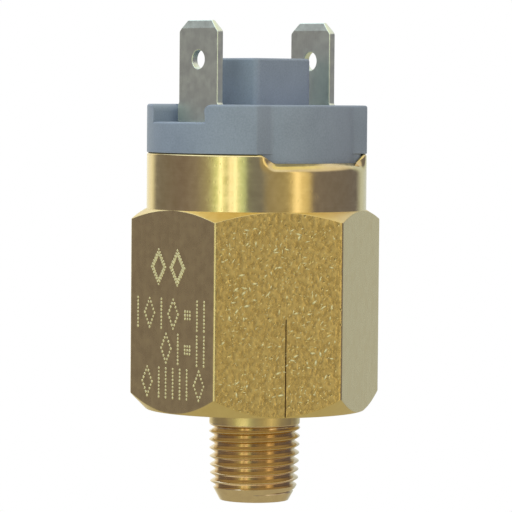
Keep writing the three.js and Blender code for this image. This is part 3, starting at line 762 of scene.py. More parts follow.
def plastic(name, light, dark, roughness, peel_um):
    """Speckle and haze shade the moulding, and a faint orange peel gives it relief."""
    material, tree, shader = new_material(name)
    speckle = use(tree, CLOUDS, Patch_mm=0.16, Contrast=3.0)
    haze = use(tree, CLOUDS, Patch_mm=3.5, Contrast=1.5)
    shade = mixed(tree, speckle, haze, 0.45)
    tree.links.new(blend_colours(tree, shade, dark, light), shader.inputs["Base Color"])
    tree.links.new(calc(tree, "MULTIPLY_ADD", haze, 0.12, roughness), shader.inputs["Roughness"])
    relief(tree, shader, use(tree, CLOUDS, Patch_mm=0.30, Contrast=1.5), peel_um)
    return material


HEAD_PLASTIC = plastic(
    "blue-grey nylon", (0.370, 0.430, 0.548, 1), (0.252, 0.300, 0.392, 1), 0.46, peel_um=16
)
DARK_PLASTIC = plastic(
    "dark nylon", (0.030, 0.031, 0.034, 1), (0.018, 0.019, 0.021, 1), 0.45, peel_um=7
)
RUBBER = plastic(
    "black rubber", (0.022, 0.022, 0.023, 1), (0.012, 0.012, 0.013, 1), 0.70, peel_um=14
)

# %% Head sizes, in millimetres
HEAD_BOTTOM, SKIRT_BOTTOM, FLANGE_BOTTOM, DECK = 28.8, 32.2, 37.78, 43.0
STACK_RADIUS, SKIRT_RADIUS, FLANGE_RADIUS = 9.9, 11.35, 11.95
SHOULDER_X, RECESS_RADIUS = 8.95, 10.68
RELIEF_X, RELIEF_RADIUS, RELIEF_BOTTOM = 8.85, 10.68, 35.5
NOTCH_HALF_WIDTH, NOTCH_FLOOR, NOTCH_INNER, NOTCH_LIP = 4.15, 41.1, 7.62, 0.8
TOWER_HALF_X, TOWER_HALF_Y, TOWER_TOP, TOWER_CORNER, TOWER_EDGE = 4.3, 4.05, 48.0, 0.8, 0.3
SPRING_BORE, SPRING_BORE_TOP = 4.2, 41.6
INSERT_RADIUS, INSERT_BOTTOM, INSERT_TOP, MOUTH_RADIUS = 3.25, 41.8, 47.0, 2.8
SLIDE_FIT = 0.05
BLADE_OFFSET, BLADE_THICKNESS, BLADE_SHOULDER_WIDTH, BLADE_STEM_WIDTH = 8.1, 0.8, 6.7, 4.0
BLADE_SHOULDER_BOTTOM = 41.1
SLOT_FIT = 0.06
CONTACT_OFFSET, RIVET_TAIL_RADIUS, RIVET_TAIL = 5.7, 1.0, 0.4


# %% Build the head
def clipped_circle(radius, side_x, side_radius, step=3.0):
    """Polar points of a circle whose two sides beyond +-side_x are cut to a smaller one."""
    outer_end = math.degrees(math.acos(side_x / radius))
    inner_end = math.degrees(math.acos(side_x / side_radius))
    points, radii = [], []
    for middle in (0, 180):
        arcs = [
            (middle - inner_end, middle + inner_end, side_radius, 1.0),
            (middle + outer_end, middle + 180 - outer_end, radius, 0.4),
        ]
        for start, end, size, rounding in arcs:
            skipped = math.degrees(rounding * 1.2 / size)
            inside = np.linspace(start + skipped, end - skipped, int((end - start) / step))
            for angle in (start, *inside, end):
                turn = math.radians(angle)
                points.append((size * math.cos(turn), size * math.sin(turn)))
                radii.append(rounding if angle in (start, end) else 0)
    outline = rounded(points, radii)
    degrees = np.degrees(np.arctan2(outline[:, 1], outline[:, 0])) % 360
    order = np.argsort(degrees)
    return degrees[order], np.hypot(outline[:, 0], outline[:, 1])[order]


def head_outside():
    flange = clipped_circle(FLANGE_RADIUS, SHOULDER_X, RECESS_RADIUS)
    skirt = clipped_circle(SKIRT_RADIUS, RELIEF_X, RELIEF_RADIUS)
    degrees = np.unique(np.round(np.concatenate([flange[0], skirt[0]]), 3))
    columns = []
    for angle in degrees:
        outer, inner = (np.interp(angle, d, r, period=360) for d, r in (flange, skirt))
        columns.append(rounded(
            [(0, HEAD_BOTTOM), (STACK_RADIUS, HEAD_BOTTOM), (STACK_RADIUS, SKIRT_BOTTOM),
             (SKIRT_RADIUS, SKIRT_BOTTOM), (SKIRT_RADIUS, RELIEF_BOTTOM), (inner, RELIEF_BOTTOM),
             (inner, FLANGE_BOTTOM), (outer, FLANGE_BOTTOM), (outer, NOTCH_FLOOR - 0.3),
             (outer, DECK), (0, DECK)],
            [0, 0.2, 0.1, 0.2, 0.1, 0.1, 0.1, 0.08, 0, 0.3, 0],
        ))
    vertices, faces = loft(placed_round(columns, np.radians(degrees)))
    rows = len(columns[0])
    sheet = [f for k, f in enumerate(faces) if k % rows != rows - 1]
    head = piece_from("part", vertices, sheet, [])
    tower = rounded(
        box_outline(-TOWER_HALF_X, TOWER_HALF_X, -TOWER_HALF_Y, TOWER_HALF_Y), TOWER_CORNER
    )
    combine(head, [slab(tower, DECK - 1, TOWER_TOP, TOWER_EDGE, both_rims=False)], "UNION")
    reach = FLANGE_RADIUS + 1
    lip = [
        (NOTCH_HALF_WIDTH + inset, DECK - depth) for inset, depth in quarter_round(NOTCH_LIP, 9)
    ]
    half = [(NOTCH_HALF_WIDTH, NOTCH_FLOOR)] + lip + [(NOTCH_HALF_WIDTH + NOTCH_LIP, DECK + 1)]
    notch = half + [(-x, z) for x, z in reversed(half)]
    notches = [
        raised(notch, *sorted((side * NOTCH_INNER, side * reach)), axis="y") for side in (-1, 1)
    ]
    return soften_notches(combine(head, notches, "DIFFERENCE"))


def soften_notches(head):
    """Rounds the notches' open edges, which the profile and the outline don't reach."""
    work = bmesh.new()
    work.from_mesh(head.data)
    weight = work.edges.layers.float.new("bevel_weight_edge")
    for edge in work.edges:
        ends = [v.co / MM for v in edge.verts]
        in_notch = all(abs(p.x) < NOTCH_HALF_WIDTH + 0.01 and p.z < DECK - 0.75 for p in ends)
        on_rim = all(
            math.hypot(p.x, p.y) > FLANGE_RADIUS - 0.05 and p.z > NOTCH_FLOOR - 0.01 for p in ends
        )
        if in_notch and on_rim and edge.is_manifold and edge.calc_face_angle() > math.radians(40):
            edge[weight] = 1.0
    work.to_mesh(head.data)
    work.free()
    modifier = head.modifiers.new("bevel", "BEVEL")
    modifier.width, modifier.segments, modifier.limit_method = 0.2 * MM, 3, "WEIGHT"
    modifier.use_clamp_overlap = False
    return applied(head)


def head_bores():
    mouth = 0.25
    bores = turned("part", [
        (0, HEAD_BOTTOM - 1), (SPRING_BORE, HEAD_BOTTOM - 1), (SPRING_BORE, SPRING_BORE_TOP),
        (INSERT_RADIUS + SLIDE_FIT, SPRING_BORE_TOP), (INSERT_RADIUS + SLIDE_FIT, INSERT_TOP),
        (MOUTH_RADIUS, INSERT_TOP), (MOUTH_RADIUS, TOWER_TOP - mouth),
        (MOUTH_RADIUS + 1.5 * mouth, TOWER_TOP + 0.5 * mouth), (0, TOWER_TOP + 0.5 * mouth),
    ], [], edge=0.05)
    cuts = [bores]
    for side in (-1, 1):
        half = BLADE_THICKNESS / 2 + SLOT_FIT
        y0, y1 = side * BLADE_OFFSET - half, side * BLADE_OFFSET + half
        for width, bottom, top in (
            (BLADE_STEM_WIDTH, HEAD_BOTTOM - 1, NOTCH_FLOOR + 1),
            (BLADE_SHOULDER_WIDTH, BLADE_SHOULDER_BOTTOM - SLOT_FIT, DECK + 1),
        ):
            reach = width / 2 + SLOT_FIT
            cuts.append(raised(box_outline(-reach, reach, y0, y1), bottom, top))
        pocket = circle(RIVET_TAIL_RADIUS + 0.2, (0, side * CONTACT_OFFSET), 32)
        cuts.append(raised(pocket, HEAD_BOTTOM - 1, HEAD_BOTTOM + RIVET_TAIL + 0.2))
    return cuts


head = finished(
    combine(head_outside(), head_bores(), "DIFFERENCE"), "insulator_head_fine", [HEAD_PLASTIC]
)
settle(head, "housing", "insulator_head")
print("head:", len(head.data.polygons), "faces")

# %% [markdown]
# ## The terminals
#
# Each blade is stamped from brass strip, 6.3 wide and 0.8 thick, and plated with tin. Tin
# looks warm grey and satin, with fine scratches along the blade from plugging, and the
# stamped edges are a little brighter. Its foot is folded under the head and carries a
# riveted silver contact.

# %% Plated metal, steel and silver


def plated(name, light, dark, roughness, lines_per_mm, lines_um):
    """Fine scratches and soft patches on a plated or polished metal."""
    material, tree, shader = new_material(name, metallic=1.0)
    scratches = use(tree, TOOL_LINES, Lines_per_mm=lines_per_mm)
    patches = use(tree, CLOUDS, Patch_mm=0.8, Contrast=2.0)
    shade = mixed(tree, scratches, patches, 0.5)
    tree.links.new(blend_colours(tree, shade, dark, light), shader.inputs["Base Color"])
    tree.links.new(calc(tree, "MULTIPLY_ADD", patches, 0.14, roughness), shader.inputs["Roughness"])
    relief(tree, shader, scratches, lines_um)
    return material


TIN = plated("tin plate", (0.92, 0.96, 0.80, 1), (0.72, 0.76, 0.62, 1), 0.28, (6, 6, 0.5), 3.5)
STEEL = plated(
    "zinc-plated steel", (0.58, 0.58, 0.56, 1), (0.44, 0.44, 0.43, 1), 0.28, (5, 5, 5), 2
)
SILVER = plated("contact silver", (0.88, 0.87, 0.84, 1), (0.72, 0.71, 0.67, 1), 0.22, (8, 8, 2), 2)

# %% Terminal sizes, in millimetres
BLADE_HALF, BLADE_TOP, BLADE_CORNER, BLADE_SHOULDER_TOP = 3.15, 52.0, 1.2, 43.2
BLADE_LEAD, BLADE_TIP_THICKNESS, BLADE_EDGE = 0.87, 0.35, 0.1
HOLE_RADIUS, HOLE_HEIGHT = 1.0, 47.8
FOOT_BOTTOM, FOOT_INNER, RIVET_SHANK = 28.0, 4.45, 0.7


# %% Build the terminals
def blade_half_outline():
    shoulder, stem = BLADE_SHOULDER_WIDTH / 2, BLADE_STEM_WIDTH / 2
    return [
        (stem, FOOT_BOTTOM), (stem, BLADE_SHOULDER_BOTTOM), (shoulder, BLADE_SHOULDER_BOTTOM),
        (shoulder, BLADE_SHOULDER_TOP - 0.3), (BLADE_HALF, BLADE_SHOULDER_TOP),
        (BLADE_HALF, BLADE_TOP - BLADE_CORNER), (BLADE_HALF - BLADE_CORNER, BLADE_TOP),
    ]


def tapered(blade, middle):
    """Thins a blade towards its tip, on both faces."""
    start = BLADE_TOP - BLADE_LEAD
    work = bmesh.new()
    work.from_mesh(blade.data)
    bmesh.ops.bisect_plane(
        work, geom=work.verts[:] + work.edges[:] + work.faces[:], dist=1e-7,
        plane_co=(0, 0, start * MM), plane_no=(0, 0, 1),
    )
    for vertex in work.verts:
        way_up = max(0.0, vertex.co.z / MM - start) / BLADE_LEAD
        ratio = 1 - way_up * (1 - BLADE_TIP_THICKNESS / BLADE_THICKNESS)
        vertex.co.y = middle * MM + (vertex.co.y - middle * MM) * ratio
    work.to_mesh(blade.data)
    work.free()
    return blade


def flared_hole(middle):
    """A cutter along Y for the blade's hole, with a lip where the punch drew the edges in."""
    half = BLADE_THICKNESS / 2
    lip = [(HOLE_RADIUS + inset, half - depth) for inset, depth in quarter_round(BLADE_EDGE)]
    upper = lip + [(HOLE_RADIUS + BLADE_EDGE, 1), (0, 1)]
    profile = [(r, -z) for r, z in reversed(upper)] + upper
    cutter = turned("part", profile, [], edge=0.0, segments=64)
    cutter.data.transform(Matrix.Rotation(math.pi / 2, 4, "X"))
    cutter.data.transform(Matrix.Translation((0, middle * MM, HOLE_HEIGHT * MM)))
    return cutter


def terminal(name, side):
    right = blade_half_outline()
    outline = right + [(-x, z) for x, z in reversed(right)]
    corners = [0.15, 0, 0.2, 0.2, 0.3, 0.4, 0.35]
    outline = rounded(outline, corners + corners[::-1])
    middle, half = side * BLADE_OFFSET, BLADE_THICKNESS / 2
    blade = tapered(slab(outline, middle - half, middle + half, BLADE_EDGE, axis="y"), middle)
    stem = BLADE_STEM_WIDTH / 2
    foot_outline = rounded(box_outline(-stem, stem, *sorted((side * FOOT_INNER, middle))), 0.15)
    foot = slab(foot_outline, FOOT_BOTTOM, HEAD_BOTTOM, BLADE_EDGE)
    combine(blade, [foot], "UNION")
    shank = circle(RIVET_SHANK + SLIDE_FIT, (0, side * CONTACT_OFFSET), 32)
    rivet_hole = raised(shank, FOOT_BOTTOM - 1, HEAD_BOTTOM + 1)
    combine(blade, [flared_hole(middle), rivet_hole], "DIFFERENCE")
    return finished(blade, name, [TIN], sharp=12)


def moved(piece, y):
    piece.data.transform(Matrix.Translation((0, y * MM, 0)))
    return piece


CONTACT_RADIUS, CONTACT_HEIGHT = 1.2, 0.7
BRIDGE_BOTTOM, BRIDGE_TOP = 25.0, 25.8
for place, side in (("front", -1), ("rear", 1)):
    blade = terminal(f"terminal_{place}_fine", side)
    settle(blade, "housing", f"terminal_{place}")
    face = FOOT_BOTTOM - CONTACT_HEIGHT
    rivet = turned(f"fixed_contact_{place}_fine", [
        (0, face), (0.7 * CONTACT_RADIUS, face), (CONTACT_RADIUS, face + 0.2),
        (CONTACT_RADIUS, FOOT_BOTTOM), (RIVET_SHANK, FOOT_BOTTOM), (RIVET_SHANK, HEAD_BOTTOM),
        (RIVET_TAIL_RADIUS, HEAD_BOTTOM), (RIVET_TAIL_RADIUS, HEAD_BOTTOM + RIVET_TAIL),
        (0, HEAD_BOTTOM + RIVET_TAIL),
    ], [SILVER], edge=0.1, segments=40)
    settle(moved(rivet, side * CONTACT_OFFSET), "housing", f"fixed_contact_{place}")
    top = BRIDGE_TOP + CONTACT_HEIGHT
    button = turned(f"bridge_contact_{place}_fine", [
        (0, BRIDGE_TOP), (CONTACT_RADIUS, BRIDGE_TOP), (CONTACT_RADIUS, top - 0.2),
        (0.7 * CONTACT_RADIUS, top), (0, top),
    ], [SILVER], edge=0.1, segments=40)
    button = moved(button, side * CONTACT_OFFSET)
    settle(button, "piston_group", f"bridge_contact_{place}")
print("terminals and contacts made")

# %% [markdown]
# ## The pieces inside
#
# None of these is seen from outside, but each is made as the shop would make it: turned
# rings with broken edges, a punched bridge, a moulded bush. The rubber disc's rim is held
# by the body and its middle rides on the piston; here it is one fixed mesh at rest.

# %% Turned pieces in the bore
SEAL_SECTION = circle(0.5, (10.7, 31.7), 24)


def ring(inner, outer, bottom, top):
    return [(inner, bottom), (outer, bottom), (outer, top), (inner, top)]


BORE_PIECES = [
    # CAD node, body, slot, material, rounding of the edges, and profile
    ("clamp_ring", "housing", "inner_brass", INNER_BRASS, 0.2, ring(7.2, 9.9, 14.6, 17.6)),
    ("guide_plate", "housing", "inner_brass", INNER_BRASS, 0.15, ring(3.05, 9.9, 17.6, 18.6)),
    ("spacer_sleeve", "housing", "dark_plastic", DARK_PLASTIC, 0.2, ring(7.8, 9.9, 18.6, 28.0)),
    ("threaded_insert", "housing", "inner_brass", INNER_BRASS, 0.15,
     ring(2.5, INSERT_RADIUS, INSERT_BOTTOM, INSERT_TOP)),
    ("head_seal", "housing", "rubber", RUBBER, 0.0, SEAL_SECTION),
    ("piston", "piston_group", "inner_brass", INNER_BRASS, 0.15,
     [(0, 15.4), (6.2, 15.4), (6.5, 15.7), (6.5, 16.6), (3.0, 16.6), (3.0, 23.5), (1.5, 23.5),
      (1.5, 25.8), (0, 25.8)]),
    ("contact_carrier", "piston_group", "dark_plastic", DARK_PLASTIC, 0.15,
     [(0, 25.9), (1.55, 25.9), (1.55, 23.5), (4.0, 23.5), (4.0, 25.0), (2.4, 25.0), (2.4, 27.2),
      (0, 27.2)]),
    ("lower_spring_seat", "piston_group", "steel", STEEL, 0.12, ring(2.45, 4.0, 25.8, 26.6)),
    ("upper_spring_plate", "spring_plate", "steel", STEEL, 0.15,
     [(0, 38.4), (2.3, 38.4), (2.3, 39.2), (4.0, 39.2), (4.0, 40.2), (0, 40.2)]),
]
for node, carried_by, slot, material, edge, profile in BORE_PIECES:
    settle(turned(f"{node}_fine", profile, [material], edge=edge), carried_by, node)

diaphragm = turned("diaphragm_fine", [
    (0, 14.8), (6.1, 14.8), (6.8, 14.0), (9.9, 14.0), (9.9, 14.6), (7.1, 14.6), (6.5, 15.4),
    (0, 15.4),
], [RUBBER], edge=0.15, segments=128)
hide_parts("diaphragm")
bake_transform(diaphragm)

BRIDGE_HALF_WIDTH, BRIDGE_HALF_LENGTH, BRIDGE_DISC, BRIDGE_BORE = 2.3, 7.2, 4.3, 2.45


def bridge_outline():
    """A bar with round ends and a round disc across its middle."""
    joint = math.acos(BRIDGE_HALF_WIDTH / BRIDGE_DISC)
    joint_y = BRIDGE_DISC * math.sin(joint)
    arc = [
        (BRIDGE_DISC * math.cos(a), BRIDGE_DISC * math.sin(a))
        for a in np.linspace(-joint, joint, 39)[1:-1]
    ]
    right = [(BRIDGE_HALF_WIDTH, -BRIDGE_HALF_LENGTH), (BRIDGE_HALF_WIDTH, -joint_y), *arc,
             (BRIDGE_HALF_WIDTH, joint_y), (BRIDGE_HALF_WIDTH, BRIDGE_HALF_LENGTH)]
    radii = [2.1, 0.25] + [0] * len(arc) + [0.25, 2.1]
    return rounded(right + [(-x, -y) for x, y in right], radii * 2)


bridge = combine(
    slab(bridge_outline(), BRIDGE_BOTTOM, BRIDGE_TOP, 0.08),
    [raised(circle(BRIDGE_BORE, steps=48), BRIDGE_BOTTOM - 1, BRIDGE_TOP + 1)], "DIFFERENCE",
)
bridge = finished(bridge, "contact_bridge_fine", [INNER_BRASS])
settle(bridge, "piston_group", "contact_bridge")
print("pieces in the bore made")

# %% [markdown]
# ## The range spring
#
# A spring is one wire swept along a helix. Geometry Nodes does that from named inputs: a
# line of points is lifted into a helix by its index, and a round section is swept along it.
# The end turns lie closed, so the pitch grows smoothly from them.
#
# Both ends of the spring move: the piston lifts the lower one, and the screw's plate
# presses the upper one. So it is made as two halves that meet at mid height, where the
# wire stands still; both halves are made at rest and stay fixed.

# %% Spring by Geometry Nodes
CLOSED_SHARE = 0.75  # how much of a turn lies closed at each end
CLOSED_PITCH = 2.1  # a closed turn's pitch, in wire radii
SEAT_GAP = 1.04  # from the end turn's middle to its seat, in wire radii


def geometry_group(name, inputs):
    return open_group(name, "GeometryNodeTree", inputs, "Geometry", "NodeSocketGeometry")


def dress(tree, geometry, material, result):
    """Turns instances into mesh, gives it its material, and makes it the tree's result."""
    real = put(tree, "GeometryNodeRealizeInstances", {0: geometry.outputs[0]})
    dressed = put(
        tree, "GeometryNodeSetMaterial", {0: real.outputs[0], "Material": material}
    )
    tree.links.new(dressed.outputs[0], result.inputs[0])
    return tree


def spring_tree():
    inputs = [
        ("Turns", "NodeSocketFloat", 7.5),
        ("First share", "NodeSocketFloat", 0.0),
        ("Last share", "NodeSocketFloat", 0.5),
        ("Coil radius", "NodeSocketFloat", 0.00315),
        ("Wire radius", "NodeSocketFloat", 0.00045),
        ("Bottom", "NodeSocketFloat", 0.0266),
        ("Top", "NodeSocketFloat", 0.0392),
        ("Material", "NodeSocketMaterial", None),
    ]
    tree, given, result = geometry_group("Spring", inputs)
    turns, first, last, coil, wire, bottom, top, material = given.outputs[:8]
    steps = 220
    line = put(tree, "GeometryNodeMeshLine", {"Count": steps + 1})
    along = calc(tree, "DIVIDE", put(tree, "GeometryNodeInputIndex").outputs[0], steps)
    share = calc(tree, "MULTIPLY_ADD", along, calc(tree, "SUBTRACT", last, first), first)
    angle = calc(tree, "MULTIPLY", calc(tree, "MULTIPLY", share, turns), 2 * math.pi)
    closed = calc(tree, "DIVIDE", 1.0, turns)
    inner_low = calc(tree, "MULTIPLY", closed, CLOSED_SHARE)
    opened = calc(tree, "MULTIPLY_ADD", inner_low, -2.0, 1.0)
    active = calc(tree, "DIVIDE", calc(tree, "SUBTRACT", share, inner_low), opened, clamp=True)
    near = calc(tree, "MULTIPLY", wire, CLOSED_PITCH)
    low_lift = calc(tree, "MULTIPLY", calc(tree, "DIVIDE", share, inner_low, clamp=True), near)
    from_top = calc(tree, "SUBTRACT", 1.0, share)
    high_lift = calc(tree, "MULTIPLY", calc(tree, "DIVIDE", from_top, inner_low, clamp=True), near)
    seat_low = calc(tree, "MULTIPLY_ADD", wire, SEAT_GAP, bottom)
    seat_high = calc(tree, "MULTIPLY_ADD", wire, -SEAT_GAP, top)
    run = calc(tree, "SUBTRACT", seat_high, seat_low)
    run = calc(tree, "SUBTRACT", run, calc(tree, "MULTIPLY", near, 2.0))
    height = calc(tree, "ADD", seat_low, low_lift)
    height = calc(tree, "ADD", height, calc(tree, "MULTIPLY", run, active))
    height = calc(tree, "ADD", height, calc(tree, "SUBTRACT", near, high_lift))
    place = put(tree, "ShaderNodeCombineXYZ", {
        0: calc(tree, "MULTIPLY", coil, calc(tree, "COSINE", angle)),
        1: calc(tree, "MULTIPLY", coil, calc(tree, "SINE", angle)),
        2: height,
    })
    lifted = put(tree, "GeometryNodeSetPosition", {
        "Geometry": line.outputs[0], "Position": place.outputs[0],
    })
    curve = put(tree, "GeometryNodeMeshToCurve", {0: lifted.outputs[0]})
    section = put(tree, "GeometryNodeCurvePrimitiveCircle", {"Resolution": 16, "Radius": wire})
    swept = put(tree, "GeometryNodeCurveToMesh", {
        "Curve": curve.outputs[0], "Profile Curve": section.outputs[0], "Fill Caps": True,
    })
    return dress(tree, swept, material, result)


def from_tree(name, tree, mesh=None, **values):
    """A plain mesh object made by a Geometry Nodes tree with these inputs."""
    piece = bpy.data.objects.new(name, mesh or bpy.data.meshes.new(name))
    bpy.context.scene.collection.objects.link(piece)
    modifier = piece.modifiers.new(name, "NODES")
    given = [item for item in tree.interface.items_tree if item.in_out == "INPUT"]
    sockets = {item.name: item.identifier for item in given}
    modifier.node_group = tree
    for label, value in values.items():
        modifier[sockets[label.replace("_", " ")]] = value
    applied(piece)
    piece.data.name = name
    return piece


SPRING = spring_tree()
SPRING_BOTTOM, SPRING_TOP = 26.6, 39.2
for name, first, last, moving, end in (
    ("range_spring_lower", 0.0, 0.5, "piston_group", SPRING_BOTTOM + 0.9),
    ("range_spring_upper", 0.5, 1.0, "spring_plate", SPRING_TOP - 0.9),
):
    half = from_tree(name, SPRING, First_share=first, Last_share=last, Material=STEEL)
    finish_mesh(half.data)
    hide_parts("range_spring")
    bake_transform(half)
    print(name, len(half.data.polygons), "faces")

# %% [markdown]
# ## The adjusting screw
#
# The screw is M5 with a 0.8 pitch. Its thread is made as the body's is, from rows that
# climb with the angle, trimmed flat at both ends, and the slot is milled across the top.

# %% Screw
SCREW_BOTTOM, SCREW_TOP, SCREW_RADIUS, SCREW_PITCH = 40.2, 46.2, 2.45, 0.8
SCREW_DEPTH, SCREW_CHAMFER, SCREW_CREST_FLAT, SCREW_FLANK = 0.42, 0.5, 0.12, 0.7
SCREW_ROWS_PER_TURN, SCREW_COLUMNS = 8, 72
SLOT_WIDTH, SLOT_DEPTH = 0.9, 1.5


def screw_point(row, degrees):
    phase = row / SCREW_ROWS_PER_TURN
    climb = SCREW_BOTTOM + (phase - 1 + degrees / 360) * SCREW_PITCH
    z = min(max(climb, SCREW_BOTTOM), SCREW_TOP)
    crest = SCREW_RADIUS - SCREW_DEPTH * thread_wave(phase, SCREW_CREST_FLAT, SCREW_FLANK)
    from_end = min(z - SCREW_BOTTOM, SCREW_TOP - z)
    return min(crest, SCREW_RADIUS - SCREW_CHAMFER + from_end), z


def adjusting_screw():
    rows = int((SCREW_TOP - SCREW_BOTTOM) / SCREW_PITCH + 3) * SCREW_ROWS_PER_TURN
    turns = np.linspace(0, 360, SCREW_COLUMNS + 1)
    columns = [
        [(0, SCREW_BOTTOM), *(screw_point(row, turn) for row in range(rows)), (0, SCREW_TOP)]
        for turn in turns
    ]
    sections = placed_round(columns, [math.radians(turn) for turn in turns])
    faces = grid_faces(len(columns), len(columns[0]), closed=False)
    shank = piece_from("part", sections.reshape(-1, 3), faces, [])
    half = SLOT_WIDTH / 2
    slot = raised(box_outline(-4, 4, -half, half), SCREW_TOP - SLOT_DEPTH, SCREW_TOP + 1)
    screw = combine(shank, [slot], "DIFFERENCE")
    return finished(screw, "adjusting_screw_fine", [STEEL], sharp=30)


settle(adjusting_screw(), "screw", "adjusting_screw")

# %% [markdown]
# ## Marks on the hexagon
#
# A code is pecked into one flat by a pin: each dot is a crater with a raised rim, made bright by a
# pale material that is partly fresh peened metal and partly painted highlight.
# Here the code is only bars, squares and diamonds, laid out in rows. The layout is a list
# of figures; Geometry Nodes sets one crater on every point. Each dot is a closed shell.

# %% Peened dots by Geometry Nodes
DOT_ACROSS, DOT_UP = 0.40, 0.385
DOT_ROOT = 0.02
FIGURE_GAP = 1.15
FIGURES = {
    "bar": [(0, k) for k in range(9)],
    "square": [(c, k) for c in range(3) for k in (3, 4, 5)],
    "diamond": [(c / 2, k) for c in range(9) for k in range(9) if abs(c - 4) + abs(k - 4) == 4],
}
ROWS_END = 5.3
MARK_ROWS = [
    # height of the row's foot in mm, and its figures
    (11.7, ["diamond", "bar", "bar", "bar", "bar", "bar", "diamond"]),
    (15.4, ["diamond", "bar", "square", "bar", "bar"]),
    (19.1, ["bar", "diamond", "bar", "diamond", "square", "bar", "bar"]),
]
SYMBOL_HEIGHT = 25.6
SYMBOL_HALF_WIDTH, SYMBOL_HALF_HEIGHT = 1.15, 1.85
SYMBOL_CENTRES, SYMBOL_SIZES, SYMBOL_SIDE_DOTS = (-2.2, 0.9), (0.78, 1.0), 6
SYMBOL_CORNERS = [(1, 0), (0, 1), (-1, 0), (0, -1), (1, 0)]


def mark_points():
    points = []
    for foot, figures in MARK_ROWS:
        x = ROWS_END
        for figure in reversed(figures):
            cells = FIGURES[figure]
            width = max(c for c, k in cells) * DOT_ACROSS
            points += [(x - width + c * DOT_ACROSS, foot + k * DOT_UP) for c, k in cells]
            x -= width + FIGURE_GAP
    for centre in SYMBOL_CENTRES:
        for size in SYMBOL_SIZES:
            for k in range(4 * SYMBOL_SIDE_DOTS):
                side, step = divmod(k, SYMBOL_SIDE_DOTS)
                (x0, z0), (x1, z1) = SYMBOL_CORNERS[side], SYMBOL_CORNERS[side + 1]
                along = step / SYMBOL_SIDE_DOTS
                across, up = x0 + (x1 - x0) * along, z0 + (z1 - z0) * along
                points.append((
                    centre + size * SYMBOL_HALF_WIDTH * across,
                    SYMBOL_HEIGHT + size * SYMBOL_HALF_HEIGHT * up,
                ))
    return points


def from_middle(tree):
    """Each point's distance from the origin."""
    place = put(tree, "GeometryNodeInputPosition").outputs[0]
    return put(tree, "ShaderNodeVectorMath", {0: place}, operation="LENGTH").outputs["Value"]


def along_z(tree, value):
    return put(tree, "ShaderNodeCombineXYZ", {2: value}).outputs[0]


def pushed(tree, sheet, height):
    """The sheet with each of its points moved along Z."""
    ends = {"Geometry": sheet.outputs[0], "Offset": along_z(tree, height)}
    return put(tree, "GeometryNodeSetPosition", ends)


def closed_shell(tree, front, back, gap):
    """One closed mesh from a front sheet and a back sheet with the same rim."""
    smooth = put(tree, "GeometryNodeSetShadeSmooth", {0: front.outputs[0], "Shade Smooth": True})
    flat = put(tree, "GeometryNodeSetShadeSmooth", {0: back.outputs[0], "Shade Smooth": False})
    turned_over = put(tree, "GeometryNodeFlipFaces", {0: flat.outputs[0]})
    both = put(tree, "GeometryNodeJoinGeometry")
    for sheet in (smooth, turned_over):
        tree.links.new(sheet.outputs[0], both.inputs[0])
    return put(tree, "GeometryNodeMergeByDistance", {0: both.outputs[0], "Distance": gap})


def dots_tree():
    inputs = [
        ("Geometry", "NodeSocketGeometry", None),
        ("Dot radius", "NodeSocketFloat", 0.00016),
        ("Rim height", "NodeSocketFloat", 0.00003),
        ("Material", "NodeSocketMaterial", None),
    ]
    tree, given, result = geometry_group("Dots", inputs)
    points, radius, rim_height, material = given.outputs[:4]
    disc = put(
        tree, "GeometryNodeMeshCircle", {"Vertices": 10, "Radius": radius}, fill_type="TRIANGLE_FAN"
    )
    finer = put(tree, "GeometryNodeSubdivideMesh", {0: disc.outputs[0], "Level": 1})
    share = calc(tree, "DIVIDE", from_middle(tree), radius)
    # The rim is highest half way out, and both sheets are back in the plane at the edge.
    inside = between(tree, share, 0.94, 0.6)
    rim = calc(tree, "MULTIPLY", between(tree, share, 0.2, 0.5), inside)
    crater = pushed(tree, finer, calc(tree, "MULTIPLY", rim, rim_height))
    root = pushed(tree, finer, calc(tree, "MULTIPLY", inside, -DOT_ROOT * MM))
    dot = closed_shell(tree, crater, root, 1e-7)
    upright = put(tree, "GeometryNodeTransform", {
        "Geometry": dot.outputs[0], "Rotation": (math.pi / 2, 0, 0),
    })
    limits = {"Min": 0.85, "Max": 1.1, "Seed": 4}
    size = put(tree, "FunctionNodeRandomValue", limits, data_type="FLOAT").outputs[1]
    dots = put(tree, "GeometryNodeInstanceOnPoints", {
        "Points": points, "Instance": upright.outputs[0], "Scale": size,
    })
    return dress(tree, dots, material, result)


# Painted highlight: the pale, half-metallic colour is partly the fresh peened metal and partly the
# light that the dots' rims catch.
PEENED_HIGHLIGHT_BRASS = brass(
    "peened brass with painted highlight", (0.98, 0.90, 0.56, 1), (0.94, 0.84, 0.46, 1), 0.45,
    lines_per_mm=(9, 9, 9), lines_um=2.0, clouds_um=4.0, patch=0.2, nicks_um=2.0, metallic=0.45,
)
layout = bpy.data.meshes.new("mark layout")
marked_flat = APOTHEM + 0.001
layout.from_pydata([(x * MM, -marked_flat * MM, z * MM) for x, z in mark_points()], [], [])
marks = from_tree("code_marks", dots_tree(), layout, Material=PEENED_HIGHLIGHT_BRASS)
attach(marks, "housing")
print("code marks:", len(mark_points()), "dots")

# %% [markdown]
# Two opposite flats were gripped while the body was machined, and are peppered with small
# burrs. Each burr is a low six-sided sliver, closed at the back. Geometry Nodes scatters
# them over a grid of the flat's size, turns and sizes each at random, and places the same
# scatter on both flats.

# %% Burrs by Geometry Nodes
BURR_SPAN = (12.4, 18.6)
BURR_SINK, BURR_DROP = 0.002, 0.1
GRIPPED_FLATS = (-30, 150)


def chance(tree, seed):
    """A number from 0 to 1 for each point."""
    return put(tree, "FunctionNodeRandomValue", {"Seed": seed}, data_type="FLOAT").outputs[1]


